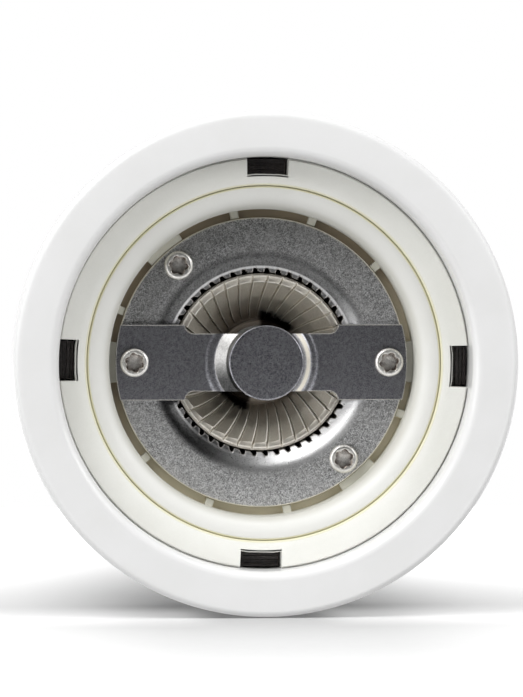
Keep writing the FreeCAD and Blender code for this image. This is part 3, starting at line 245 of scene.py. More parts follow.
class Shader:
    """A node material in the making, over the coordinates of its own object in metres."""

    def __init__(self, name):
        self.material = bpy.data.materials.new(name)
        self.material.use_nodes = True
        self.tree = self.material.node_tree
        self.surface = self.tree.nodes["Principled BSDF"]
        self.output = self.tree.nodes["Material Output"]
        self.place = self.node("TexCoord").outputs["Object"]

    def node(self, kind, **settings):
        node = self.tree.nodes.new("ShaderNode" + kind)
        for name, value in settings.items():
            setattr(node, name, value)
        return node

    def link(self, value, socket):
        if isinstance(value, bpy.types.NodeSocket):
            self.tree.links.new(value, socket)
        else:
            socket.default_value = (*value, 1.0) if socket.type == "RGBA" else value

    def feed(self, node, *values):
        """Fill a node's first inputs in order, and give back its first output."""
        for socket, value in zip(node.inputs, values):
            self.link(value, socket)
        return node.outputs[0]

    def math(self, operation, first, second=0.0, clamp=False):
        return self.feed(self.node("Math", operation=operation, use_clamp=clamp), first, second)

    def less(self, first, second):
        return self.math("SUBTRACT", first, second)

    def over(self, first, second):
        return self.math("DIVIDE", first, second)

    def times(self, first, second):
        return self.math("MULTIPLY", first, second)

    def larger(self, first, second):
        return self.math("MAXIMUM", first, second)

    def noise(self, size, detail=3.0, roughness=0.55, stretch=(1, 1, 1)):
        """Noise whose grain is about size millimetres wide."""
        mapping = self.node("Mapping")
        mapping.inputs["Scale"].default_value = stretch
        noise = self.node("TexNoise")
        self.feed(noise, self.feed(mapping, self.place))
        noise.inputs["Scale"].default_value = 1 / (size * MM)
        noise.inputs["Detail"].default_value = detail
        noise.inputs["Roughness"].default_value = roughness
        return noise.outputs["Fac"]

    def spread(self, value, low, high, start=0.3, finish=0.7):
        """From low to high while a value runs from start to finish."""
        node = self.node("MapRange", interpolation_type="SMOOTHSTEP")
        return self.feed(node, value, start, finish, low, high)

    def rise(self, value, start=0.3, finish=0.7):
        return self.spread(value, 0.0, 1.0, start, finish)

    def fall(self, value, start=0.3, finish=0.7):
        return self.spread(value, 1.0, 0.0, start, finish)

    def mix(self, share, first, second):
        node = self.node("Mix", data_type="RGBA")
        for value, number in ((share, 0), (first, 6), (second, 7)):
            self.link(value, node.inputs[number])
        return node.outputs[2]

    def axes(self):
        """The three coordinates, in metres."""
        parts = self.node("SeparateXYZ")
        self.feed(parts, self.place)
        return parts.outputs

    def radius(self):
        """Distance from the axis, in millimetres."""
        x, y, _ = self.axes()
        squares = self.math("ADD", self.math("POWER", x, 2.0), self.math("POWER", y, 2.0))
        return self.over(self.math("SQRT", squares), MM)

    def dot(self, first, second):
        node = self.node("VectorMath", operation="DOT_PRODUCT")
        self.feed(node, first, second)
        return node.outputs["Value"]

    def along(self, direction):
        """Distance from the axis along a level direction, in millimetres."""
        return self.over(self.dot(self.place, tuple(direction)), MM)

    def facing(self, direction):
        """1 on the side of the axis that a level direction points to, and -1 on the far side."""
        return self.over(self.along(direction), self.radius())

    def near(self, value, place, full, faint):
        """1 where a value is within full of a place, and 0 from faint on."""
        return self.fall(self.math("ABSOLUTE", self.less(value, place)), full, faint)

    def tooth_share(self):
        """Place within a rotor tooth, from 0 to 1, on teeth that lean more and more towards the hub."""
        x, y, _ = self.axes()
        inward = self.math("DIVIDE", self.less(LEAN_START, self.radius()), LEAN_REACH, clamp=True)
        angle = self.less(self.math("ARCTAN2", y, x), self.times(inward, ROTOR_LEAN))
        return self.math("FRACT", self.over(self.less(angle, ROTOR_FIRST), ROTOR_PITCH))

    def level(self):
        """Height above the resting face, in millimetres."""
        return self.over(self.axes()[2], MM)

    def wear(self, reach=0.25):
        """1 on edges and 0 on flats, from how far the surface turns within reach millimetres."""
        bevel = self.node("Bevel", samples=4)
        bevel.inputs["Radius"].default_value = reach * MM
        geometry = self.node("NewGeometry")
        return self.fall(self.dot(bevel.outputs[0], geometry.outputs["Normal"]), 0.90, 0.995)

    def occlusion(self, reach):
        """How open a place is, from 0 to 1, over reach millimetres."""
        node = self.node("AmbientOcclusion", samples=6)
        node.inputs["Distance"].default_value = reach * MM
        return node.outputs["AO"]

    def bump(self, height, depth, strength=1.0, under=None):
        """Bump of a height from 0 to 1, depth millimetres deep."""
        node = self.node("Bump")
        node.inputs["Strength"].default_value = strength
        node.inputs["Distance"].default_value = depth * MM
        self.link(height, node.inputs["Height"])
        if under is not None:
            self.link(under, node.inputs["Normal"])
        return node.outputs[0]

    def finish(self, colour, roughness, normal=None, **constants):
        self.link(colour, self.surface.inputs["Base Color"])
        self.link(roughness, self.surface.inputs["Roughness"])
        if normal is not None:
            self.link(normal, self.surface.inputs["Normal"])
        for name, value in constants.items():
            self.surface.inputs[name.replace("_", " ")].default_value = value
        return self.material


def grey(level, warm=0.0):
    """Grey of a level in the shader's own scale, warmer or cooler."""
    return (level * (1 + warm), level, level * (1 - warm))


def lacquer():
    """White lacquer over turned wood: a soft gloss, faint orange peel, lighter at the edges."""
    s = Shader("white_lacquer")
    cloud = s.rise(s.noise(9.0, 4))
    colour = s.mix(cloud, (0.80, 0.80, 0.795), (0.825, 0.825, 0.825))
    colour = s.mix(s.times(s.wear(0.4), 0.35), colour, (0.88, 0.88, 0.88))
    peel = s.bump(s.noise(0.9, 2), 0.012, 0.6)
    roughness = s.spread(s.noise(4.0, 3), 0.30, 0.42)
    return s.finish(colour, roughness, peel, Coat_Weight=0.35, Coat_Roughness=0.12, Specular_IOR_Level=0.45)


def moulded(name, low, high, rough=(0.42, 0.56), shine=0.4):
    """Moulded plastic: fine grain, soft shine, slightly uneven colour."""
    s = Shader(name)
    colour = s.mix(s.rise(s.noise(5.0, 4)), low, high)
    speck = s.rise(s.noise(0.25, 2))
    colour = s.mix(s.times(speck, 0.12), colour, tuple(v * 0.86 for v in low))
    normal = s.bump(s.noise(0.25, 3), 0.01, 0.7)
    return s.finish(colour, s.spread(s.noise(2.5, 3), *rough), normal, Specular_IOR_Level=shine)


def liner_plastic():
    """Cream plastic, yellower where it is thin, beside the carrier."""
    s = Shader("cream_liner")
    colour = s.mix(s.rise(s.noise(7.0, 4)), (0.86, 0.86, 0.81), (0.895, 0.895, 0.85))
    speck = s.rise(s.noise(0.22, 2))
    colour = s.mix(s.times(speck, 0.08), colour, (0.72, 0.72, 0.66))
    near_gap = s.fall(s.radius(), 23.05, 23.35)
    colour = s.mix(s.times(near_gap, 0.8), colour, (0.78, 0.75, 0.52))
    normal = s.bump(s.noise(0.3, 3), 0.008, 0.6)
    return s.finish(colour, s.spread(s.noise(2.5, 3), 0.40, 0.52), normal, Specular_IOR_Level=0.4)


def carrier_plastic():
    """White cream plastic, yellow at its outer edge, with painted shade on the ribs and on the inner
    rounding; the slots' floor is olive brown, with painted shade to one side and painted light to the other.
    """
    s = Shader("cream_carrier")
    colour = s.mix(s.rise(s.noise(7.0, 4)), (0.77, 0.77, 0.735), (0.80, 0.80, 0.77))
    speck = s.rise(s.noise(0.22, 2))
    colour = s.mix(s.times(speck, 0.06), colour, (0.70, 0.70, 0.65))
    rim = s.rise(s.radius(), 22.55, 22.85)
    colour = s.mix(s.times(rim, 0.85), colour, (0.78, 0.75, 0.52))
    # painted shade: the ribs deep in the slots are greyer and darker
    ribs = s.spread(s.level(), 0.0, 0.4, 9.8, 11.0)
    colour = s.mix(ribs, colour, (0.56, 0.54, 0.43))
    # painted shade on the inner rounding beside the slots
    inner = s.spread(s.radius(), 0.4, 0.0, 20.0, 20.9)
    colour = s.mix(inner, colour, (0.52, 0.51, 0.42))
    # the slots' floor: olive brown, with painted shade towards one side and painted light towards the other,
    # deeper down
    floor = s.mix(s.rise(s.along((0.34, -0.94, 0)), -8, 11), (0.42, 0.34, 0.23), (0.86, 0.80, 0.62))
    colour = s.mix(s.spread(s.level(), 0.0, 0.92, 11.3, 12.4), colour, floor)
    normal = s.bump(s.noise(0.3, 3), 0.008, 0.6)
    return s.finish(colour, s.spread(s.noise(2.5, 3), 0.36, 0.48), normal, Specular_IOR_Level=0.45)


def clip_plastic():
    """Black plastic with a coarse spark-eroded grain."""
    s = Shader("black_clip")
    colour = s.mix(s.rise(s.noise(0.35, 3)), (0.010, 0.008, 0.008), (0.034, 0.026, 0.026))
    colour = s.mix(s.times(s.wear(0.2), 0.5), colour, (0.10, 0.085, 0.08))
    normal = s.bump(s.noise(0.22, 3, 0.6), 0.06, 0.9)
    return s.finish(colour, s.spread(s.noise(0.5, 2), 0.35, 0.6), normal, Specular_IOR_Level=0.5)


def blasted_steel():
    """Bead blasted sheet, shaded by a bump as if a little bowed, with a smooth drawn lip in painted shade
    that carries a painted highlight on one side only.
    """
    s = Shader("plate_steel")
    grain, coarse = s.noise(0.17, 4, 0.75), s.noise(0.45, 3, 0.6)
    mottle = s.math("ADD", s.times(grain, 0.75), s.times(coarse, 0.25))
    share = s.rise(mottle, 0.36, 0.64)
    colour = s.mix(share, grey(0.17), grey(0.98))
    colour = s.mix(s.times(s.rise(s.noise(3.2, 4)), 0.3), colour, grey(0.62, 0.01))
    # the lip: painted shade over it, a painted highlight as a pale line round its notches, a painted
    # highlight at the lower right and the darkest painted shade at the lower left
    lip = s.fall(s.radius(), 13.7, 14.9)
    notch_line = s.near(s.radius(), 12.42, 0.06, 0.26)
    tone = s.mix(notch_line, s.mix(share, grey(0.06), grey(0.14)), grey(0.60))
    tone = s.mix(s.rise(s.facing((0, -1, 0)), 0.0, 0.9), tone, grey(0.74))
    tone = s.mix(s.spread(s.facing((0.966, 0.259, 0)), 0.0, 0.75, 0.72, 0.97), tone, grey(0.02))
    colour = s.mix(s.times(lip, 0.95), colour, tone)
    # painted highlight: a thin pale line along the plate's outer edge
    outer = s.spread(s.radius(), 0.0, 0.9, 18.7, 18.82)
    colour = s.mix(outer, colour, (0.92, 0.88, 0.78))
    # edges paler, partly wear and partly painted highlight
    wear_and_glint = s.wear(0.3)
    colour = s.mix(s.times(wear_and_glint, 0.85), colour, grey(0.86, 0.04))
    inside_notches = s.spread(s.level(), 0.0, 0.85, 11.4, 12.0)
    colour = s.mix(inside_notches, colour, (0.42, 0.39, 0.34))
    roughness = s.less(s.spread(grain, 0.30, 0.44), s.times(lip, 0.04))
    roughness = s.math("ADD", roughness, s.times(s.larger(wear_and_glint, outer), 0.2))
    # a bump shades the sheet as if it bowed by 1.15 mm from one side to its middle, so its tone changes
    # across it
    across = s.math("ADD", s.over(s.along((-0.573, -0.819, 0)), 19.0), 1.0)
    bowed = s.bump(s.math("POWER", across, 2.0), 1.15)
    normal = s.bump(coarse, 0.012, 0.7, s.bump(grain, 0.012, 0.8, bowed))
    return s.finish(colour, roughness, normal, Metallic=1.0)


def satin_steel():
    """Dark satin sheet with a fine speckled grain, edges brightened by wear and painted highlight, and a
    drawn cone with painted highlight and painted shade.
    """
    s = Shader("bar_steel")
    speck = s.noise(0.15, 4, 0.7)
    mottle = s.math("ADD", s.times(speck, 0.7), s.times(s.noise(0.4, 3, 0.6), 0.3))
    share = s.rise(mottle, 0.38, 0.62)
    colour = s.mix(share, (0.19, 0.19, 0.21), (0.48, 0.48, 0.515))
    colour = s.mix(s.times(s.rise(s.noise(4.5, 3)), 0.25), colour, (0.38, 0.38, 0.41))
    # painted highlight, partly wear: edges shine on the bar and faintly on the dome, but not where the dome's
    # foot meets the bar
    sheared = s.rise(s.math("ABSOLUTE", s.along(UP)), 3.3, 3.5)
    plain = s.larger(s.rise(s.radius(), 7.7, 7.9), sheared)
    wear_and_glint = s.times(s.wear(0.22), s.times(plain, s.spread(s.level(), 0.06, 1.0, 9.15, 9.25)))
    colour = s.mix(wear_and_glint, colour, (0.98, 0.95, 0.88))
    # painted highlight: a bright ring round the foot of the cone
    cone_foot = s.times(s.rise(s.level(), 8.5, 8.7), s.spread(s.level(), 0.85, 0.0, 8.95, 9.1))
    colour = s.mix(cone_foot, colour, (0.95, 0.90, 0.81))
    # painted highlight and painted shade: the left of the cone is bright in its upper half and dark in its
    # lower half
    cone = s.times(s.rise(s.level(), 6.6, 6.9), s.fall(s.level(), 9.0, 9.12))
    left = s.times(cone, s.fall(s.along(RIGHT), -3.5, -1.0))
    low, high = s.mix(share, grey(0.04), grey(0.10)), s.mix(share, (0.32, 0.315, 0.31), (0.50, 0.495, 0.485))
    colour = s.mix(left, colour, s.mix(s.rise(s.along(UP), -2.6, 2.0), low, high))
    normal = s.bump(speck, 0.006, 0.7)
    roughness = s.math("ADD", s.spread(speck, 0.27, 0.38), s.times(wear_and_glint, 0.2))
    return s.finish(colour, roughness, normal, Metallic=1.0)


def screw_steel():
    """Plain bright screws, a little rough, dark and brown deep in their sockets: painted shade mixed with a
    stain.
    """
    s = Shader("screw_steel")
    speck = s.noise(0.18, 3, 0.6)
    colour = s.mix(s.rise(speck), (0.74, 0.725, 0.69), (0.92, 0.90, 0.86))
    # painted shade, brown like a stain, deep in the sockets
    sunk = s.fall(s.occlusion(1.2), 0.55, 0.92)
    stain_and_shade = s.mix(s.rise(s.noise(0.55, 2), 0.42, 0.6), (0.085, 0.055, 0.04), (0.42, 0.37, 0.33))
    colour = s.mix(s.times(sunk, 0.92), colour, stain_and_shade)
    normal = s.bump(speck, 0.0025, 0.6)
    return s.finish(colour, s.spread(s.noise(0.3, 2), 0.32, 0.44), normal, Metallic=1.0)


def rotor_steel():
    """Sintered steel, warm grey with an olive cast: painted highlights on its edges and rings, brown painted
    shade round the hub and two black patches of painted shade.
    """
    s = Shader("rotor_steel")
    speck = s.noise(0.14, 4, 0.65)
    colour = s.mix(s.rise(speck), (0.52, 0.49, 0.43), (0.70, 0.67, 0.60))
    colour = s.mix(s.times(s.rise(s.noise(1.8, 4)), 0.45), colour, (0.60, 0.54, 0.47))
    # edges paler, partly wear and partly painted highlight
    wear_and_glint = s.wear(0.16)
    colour = s.mix(wear_and_glint, colour, (1.0, 0.98, 0.92))
    colour = s.mix(s.spread(s.radius(), 0.0, 0.18, 9.4, 10.6), colour, (0.86, 0.82, 0.74))
    # edges of the teeth and two rings on the rim, which carry painted highlights; the inner ring shows at the
    # top only
    tooth_edge = s.times(s.near(s.tooth_share(), 0.10, 0.03, 0.09), s.fall(s.radius(), 10.3, 10.6))
    tooth_edge = s.times(tooth_edge, s.rise(s.radius(), 6.4, 8.2))
    rim_edge = s.near(s.radius(), 11.24, 0.03, 0.12)
    step = s.times(s.near(s.radius(), 10.48, 0.03, 0.12), s.rise(s.along(UP), 3, 7))
    edges = s.larger(tooth_edge, s.larger(rim_edge, step))
    # brown painted shade round the hub and two black patches of painted shade beside it
    ragged = s.math("ADD", s.radius(), s.times(s.noise(1.1, 3), 1.6))
    colour = s.mix(s.spread(ragged, 0.45, 0.0, 6.0, 8.6), colour, (0.22, 0.18, 0.145))
    colour = s.mix(s.spread(s.radius(), 0.75, 0.0, 5.5, 5.9), colour, (0.20, 0.165, 0.135))
    for turn in (160, 350):
        toward = (*polar(1.0, math.radians(turn)), 0)
        patch = s.times(s.rise(s.facing(toward), 0.90, 0.95), s.fall(ragged, 6.9, 7.6))
        colour = s.mix(patch, colour, (0.016, 0.013, 0.010))
    # painted highlight: the teeth's edges are pale in the lower half only
    upper = s.rise(s.along(UP), -2, 3)
    pale = s.less(edges, s.times(s.times(tooth_edge, upper), 0.85))
    shiny = s.times(pale, s.spread(s.noise(0.7, 2), 0.65, 1.0))
    colour = s.mix(shiny, colour, (1.0, 0.97, 0.90))
    normal = s.bump(speck, 0.012, 0.7, s.bump(edges, 0.04))
    roughness = s.math("ADD", s.spread(s.noise(0.4, 3), 0.42, 0.56), s.times(wear_and_glint, 0.15))
    s.link(s.fall(shiny, 0.0, 1.0), s.surface.inputs["Metallic"])
    return s.finish(colour, roughness, normal)


def drawn_steel(name, low, high, rough, grain=(1, 1, 0.06), rim=1.0):
    """Drawn or ground metal. grain is the stretch of its streaks, rim how much it shines at its outline."""
    s = Shader(name)
    streak = s.noise(0.25, 4, 0.6, grain)
    colour = s.mix(s.rise(streak), low, high)
    colour = s.mix(s.times(s.wear(0.2), 0.4), colour, tuple(min(1.0, v * 1.35) for v in high))
    normal = s.bump(streak, 0.006, 0.6)
    return s.finish(colour, s.spread(s.noise(0.6, 3), *rough), normal, Metallic=1.0,
                    Specular_Tint=(*grey(rim), 1.0))


MATERIALS = {
    "white_lacquer": lacquer(),
    "cream_liner": liner_plastic(),
    "cream_carrier": carrier_plastic(),
    "black_clip": clip_plastic(),
    "olive_plastic": moulded("olive_plastic", (0.22, 0.20, 0.125), (0.28, 0.255, 0.17), (0.5, 0.65)),
    "plate_steel": blasted_steel(),
    "bar_steel": satin_steel(),
    "screw_steel": screw_steel(),
    "rotor_steel": rotor_steel(),
    "shaft_steel": drawn_steel("shaft_steel", (0.30, 0.30, 0.31), (0.42, 0.42, 0.43), (0.22, 0.34),
                               rim=0.45),
    "spring_steel": drawn_steel("spring_steel", (0.42, 0.42, 0.43), (0.56, 0.56, 0.57), (0.28, 0.42),
                                (1, 1, 1)),
    "bush_plastic": moulded("bush_plastic", (0.68, 0.66, 0.58), (0.76, 0.745, 0.68), shine=0.5),
    "bright_metal": drawn_steel("bright_metal", (0.38, 0.38, 0.39), (0.46, 0.46, 0.47), (0.24, 0.32),
                                (0.06, 0.06, 1), rim=0.45),
    "brass": drawn_steel("brass", (0.72, 0.50, 0.22), (0.82, 0.60, 0.30), (0.24, 0.36), (0.1, 0.1, 1)),
}


# Selector ring and its liner

LINER_FACE = 4.5
WINDOW_TURN = math.radians(1.0)


def selector_ring():
    profile = soften(outline([
        (27.95, 0, 1.3), (31.685, 0), (32.485, 0.8, 0.8), (32.485, 9.3), (31.885, 17.8), (31.085, 18.6, 0.8),
        (26.65, 18.6), (26.65, 1.3),
    ], 20), 0.2)
    dress(piece("ring_turning", [turned(profile, 384)]), "selector_ring")


def selector_liner():
    """Moulded ring with four windows in its outer rim; its twelve notches and two helical grooves inside are
    not drawn.
    """
    bore, low_radius, full_radius = 22.97, 26.46, 26.6
    window_floor, half_window, window_top = 24.45, 2.65, 12.5
    columns = []

    def section(place, in_window):
        """Points of the section; place turns a radius into x and y."""
        rim = window_floor if in_window else low_radius
        upper = window_floor if in_window else full_radius
        profile = [
            (bore, 4.75), (bore + 0.1, 4.58), (bore + 0.3, LINER_FACE), (24.3, LINER_FACE),
            (rim - 0.3, LINER_FACE), (rim - 0.09, LINER_FACE + 0.09), (rim, LINER_FACE + 0.3), (rim, 5.08),
            (upper, 5.12), (upper, window_top - 0.02), (full_radius, window_top + 0.02), (full_radius, 18.0),
            (24.3, 18.0), (24.3, 16.7), (24.9, 16.7), (24.9, 14.45), (bore, 14.45),
        ]
        return [(*place(radius), level) for radius, level in profile]

    def radial(angle):
        return lambda radius: polar(radius, angle)

    def beside_window(middle, side):
        """Places in the plane of a window's side wall."""
        def place(radius):
            return rotated(math.sqrt(radius * radius - side * side), side, middle)
        return place

    window_reach = math.radians(6.9)
    for number in range(4):
        middle = number * TURN / 4
        columns.append(section(beside_window(middle, -half_window - 0.06), False))
        columns.append(section(beside_window(middle, -half_window), True))
        for share in (-0.6, -0.2, 0.2, 0.6):
            def flat(radius, middle=middle, side=share * half_window):
                x = math.sqrt(max(radius, 1) ** 2 - side * side) if radius > 24.5 or radius < 24.2 else radius
                return rotated(x, side, middle)
            columns.append(section(flat, True))
        columns.append(section(beside_window(middle, half_window), True))
        columns.append(section(beside_window(middle, half_window + 0.06), False))
        for angle in np.linspace(middle + window_reach, middle + TURN / 4 - window_reach, 72):
            columns.append(section(radial(angle), False))
    moulding = lattice(np.array(columns), True, True)
    dress(piece("liner_moulding", [moulding], angle=MECHANISM + WINDOW_TURN), "selector_liner")


def ring_clips():
    """Black ribbed blocks that stand in the liner's windows."""
    forms = []
    half, back, face, foot, top = 2.55, 24.55, 26.45, 7.1, 12.4
    for number in range(4):
        middle = number * TURN / 4
        for slab in range(4):
            width = (face - back) / 4
            x0 = back + slab * width + 0.05
            x1 = x0 + width - 0.1
            rise = 0.0 if slab % 2 else 0.22
            corners = [(x0, -half + 0.08), (x1, -half + 0.08), (x1, half - 0.08), (x0, half - 0.08)]
            forms.append(spun(prism(corners, foot + rise, top, 0.07), middle))
        body = [(back, -half), (face - 0.12, -half), (face - 0.12, half), (back, half)]
        forms.append(spun(prism(body, foot + 0.5, top, 0.08), middle))
    dress(piece("window_clips", forms, angle=MECHANISM + WINDOW_TURN), "ring_clips")


def spun(form, angle):
    """A form turned about the axis."""
    points, faces = form
    x, y, z = np.asarray(points, float).T
    return np.column_stack([*rotated(x, y, angle), z]), faces


# Carrier, plate and bridge bar

SCREW_CIRCLE = 16.6
BAR_SCREWS = (0.0, math.pi)
PLATE_SCREWS = (math.radians(49.5), math.radians(49.5) + math.pi)
PLATE_FACE = 10.5
BAR_FACE = 9.3


def ring_sector(inner, outer, start, finish, steps):
    angles = np.linspace(start, finish, steps + 1)
    return [polar(inner, a) for a in angles] + [polar(outer, a) for a in angles[::-1]]


def carrier_cup():
    slot_inner, slot_outer, rib_face, seat_back = 17.9, 19.95, 11.0, 13.2
    wall = soften(outline([
        (slot_outer, seat_back), (slot_outer, 7.2), (22.35, 4.8, 2.4), (22.5, 4.8), (22.9, 5.2, 0.4),
        (22.9, seat_back),
    ], 18), 0.12)
    seat = soften(outline([
        (14.4, 11.7), (slot_inner, 11.7), (slot_inner, seat_back), (14.4, seat_back),
    ]), 0.12)
    floor = [(slot_inner - 0.1, 12.5), (slot_outer + 0.1, 12.5), (slot_outer + 0.1, 13.15),
             (slot_inner - 0.1, 13.15)]
    forms = [turned(wall, 384), turned(seat, 288), turned(floor, 288)]
    middle_radius = (slot_inner + slot_outer) / 2
    narrow, wide = 1.05 / middle_radius / 2, 5.2 / middle_radius / 2
    # ribs of half a turn: middle in degrees, half width in radians
    ribs = [(0.0, wide), (20.3, narrow), (49.5, wide), (79.8, narrow), (110.1, narrow), (140.4, narrow)]
    for half_turn in (0, math.pi):
        for middle, half in ribs:
            middle = math.radians(middle) + half_turn
            steps = 3 if half == narrow else 10
            block = ring_sector(18.98, slot_outer + 0.15, middle - half, middle + half, steps)
            forms.append(prism(block, rib_face, seat_back - 0.02, 0.1))
            foot = ring_sector(slot_inner - 0.15, 19.05, middle - half, middle + half, steps)
            forms.append(prism(foot, 11.72, seat_back - 0.02, 0.05))
    for angle in BAR_SCREWS + PLATE_SCREWS:
        x, y = polar(SCREW_CIRCLE, angle)
        boss = [(x + 1.7 * math.cos(a), y + 1.7 * math.sin(a)) for a in all_round(32)]
        forms.append(prism(boss, seat_back - 0.3, 18.5, 0.2))
    for half_turn in (0, math.pi):
        lug = ring_sector(22.5, 23.85, half_turn + math.radians(-8), half_turn + math.radians(-2), 6)
        forms.append(prism(lug, 6.8, 8.4, 0.1))
    dress(piece("carrier_moulding", forms, angle=MECHANISM), "carrier_cup")


def stator_plate():
    """Plate whose mouth turns up into a crown with fifty rounded notches."""
    tip, apex, teeth = 11.74, 12.36, 50
    crown_height, crown_taper, wall_start, wall_end = 7.1, 1.8, 13.0, 17.0
    inner = [
        (14.9, 10.5), (14.6, 10.505), (14.3, 10.52), (14.0, 10.55), (13.7, 10.605), (13.4, 10.69),
        (13.1, 10.805), (12.8, 10.94), (12.5, 11.09), (12.3, 11.19), (12.15, 11.27), (12.0, 11.34),
        (11.88, 11.40), (11.79, 11.45), (tip, 11.52), (tip, 11.65), (tip, 12.2), (tip, 13.0), (10.18, 16.6),
        (13.4, 19.5),
    ]
    outer = soften(outline([
        (13.4, 19.5), (14.2, 19.5), (14.2, 11.7), (18.9, 11.7), (18.9, 10.5), (14.9, 10.5),
    ], 4, False), 0.2, 5, False)
    pitch = TURN / teeth
    start = math.radians(0.9)
    half = 0.446 / tip
    # shares of half a notch's width, and how deep the notch is there
    notch = [(-1.0, 0.0), (-0.97, 0.3), (-0.9, 0.62), (-0.78, 0.85), (-0.6, 0.97), (-0.38, 1.0),
             (-0.15, 0.97), (0.08, 0.86), (0.3, 0.67), (0.52, 0.44), (0.76, 0.19), (1.0, 0.0)]
    columns = []
    for tooth in range(teeth):
        middle = tooth * pitch + start
        angles = [(middle + share * half, depth) for share, depth in notch]
        land_start, land_end = middle + half, middle + pitch - half
        angles += [(angle, 0.0) for angle in np.linspace(land_start, land_end, 6)[1:-1]]
        for angle, depth in angles:
            column = []
            for radius, level in inner:
                narrowing = clamped((level - PLATE_FACE) / crown_height) * crown_taper
                reach = tip + (apex - tip) * depth - narrowing * (1 if level > wall_start else 0.2)
                if depth > 0 and level < wall_end and radius < reach:
                    radius = reach
                column.append((radius, level))
            column += [tuple(point) for point in outer[1:-1]]
            columns.append([(*polar(r, angle), z) for r, z in column])
    dress(piece("plate_pressing", [lattice(np.array(columns), True, True)], 40, MECHANISM), "stator_plate")


DOME = np.array([
    (0, 6.5), (4.68, 6.5), (4.76, 6.515), (4.82, 6.55), (4.86, 6.61), (4.88, 6.7), (4.96, 8.0), (4.99, 8.16),
    (5.04, 8.27), (5.13, 8.36), (6.24, 9.05), (6.34, 9.1), (6.45, 9.13), (6.6, 9.15), (6.9, 9.17), (7.1, 9.2),
    (7.3, 9.26), (7.45, 9.29), (7.55, BAR_FACE), (25, BAR_FACE),
]).T
DOME_SHIFT = -0.42
DOME_TOP_RADIUS, DOME_BLEND = 4.9, 2.0  # the shift fades out over this distance beyond the top
SHOULDER_START, SHOULDER = 8.85, 1.15  # where the bar widens, and the radius of the corner there


def dome_radius(x, y):
    """Distance from the dome's middle, which lies off the axis on its flat and on the axis at its foot."""
    radius = math.hypot(x, y)
    for _ in range(6):
        share = clamped((radius - DOME_TOP_RADIUS) / DOME_BLEND)
        radius = math.hypot(x - DOME_SHIFT * (1 - share), y)
    return radius


def dome_level(x, y):
    """Level of the bar's underside at a place: the flat of the dome, its cone, the bar."""
    return float(np.interp(dome_radius(x, y), *DOME))


def bar_half_width(x):
    disc, neck, half = 4.87, 3.75, 4.9
    beside = abs(x - DOME_SHIFT)
    x = abs(x)
    if beside < math.sqrt(disc * disc - neck * neck):
        return math.sqrt(disc * disc - beside * beside)
    if x <= SHOULDER_START:
        return neck
    if x < SHOULDER_START + SHOULDER:
        return neck + SHOULDER - math.sqrt(max(0.0, SHOULDER ** 2 - (x - SHOULDER_START) ** 2))
    return half


def bridge_bar():
    reach, thickness, rounding_start = 19.0, 1.2, 12
    shoulder = [SHOULDER_START + SHOULDER * math.sin(a) for a in np.linspace(0, math.pi / 2, 9)]
    ends = np.concatenate([np.linspace(3.7, SHOULDER_START, 64), shoulder, np.linspace(10.02, 18.5, 50),
                           np.linspace(18.55, reach, 8)])
    disc = DOME_SHIFT + 3.105 * np.sin(np.linspace(-1, 1, 45) * math.pi / 2)
    beside = np.linspace(DOME_SHIFT + 3.15, 3.65, 14)
    stations = sorted(set(np.round(np.concatenate([-ends, disc, [DOME_SHIFT - 3.15], beside, ends]), 4)))
    across = np.sin(np.linspace(-1, 1, 61) * math.pi / 2 * 0.9) / math.sin(math.pi / 2 * 0.9)
    low, high = [], []
    for x in stations:
        half = bar_half_width(x)
        end_share = max(0.0, (abs(x) - rounding_start) / (reach - rounding_start)) ** 1.5
        row_low, row_high = [], []
        for v in across:
            y = v * half
            pull = (math.sqrt(reach * reach - y * y) - reach) * end_share
            px = x + pull * np.sign(x)
            level = dome_level(px, y)
            slope_x = (dome_level(px + 0.01, y) - dome_level(px - 0.01, y)) / 0.02
            slope_y = (dome_level(px, y + 0.01) - dome_level(px, y - 0.01)) / 0.02
            normal = 1 / math.sqrt(1 + slope_x ** 2 + slope_y ** 2)
            step = min(thickness * normal, 0.45)
            row_low.append((px, y, level))
            row_high.append((px - step * slope_x, y - step * slope_y, level + thickness * normal))
        low.append(row_low)
        high.append(row_high)
    low, high = np.array(low), np.array(high)
    grid = np.concatenate([low, high[:, ::-1]], 1)
    points, faces = lattice(grid, False, True)
    columns = grid.shape[1]
    half_columns = columns // 2
    for row in (0, grid.shape[0] - 1):
        base = row * columns
        for j in range(half_columns - 1):
            faces.append([base + j, base + j + 1, base + columns - 2 - j, base + columns - 1 - j])
    obj = piece("bar_pressing", [(points, faces)], 50, MECHANISM)
    bevel = obj.modifiers.new("edges", "BEVEL")
    bevel.width = 0.16 * MM
    bevel.segments = 3
    bevel.limit_method = "ANGLE"
    bevel.angle_limit = math.radians(60)
    dress(obj, "bridge_bar")


def lobed(radius, angle):
    """Radius of a six-lobe socket's outline at an angle."""
    wave = 0.5 + 0.5 * math.cos(6 * angle)
    return radius * (0.80 + 0.20 * wave ** 0.7)


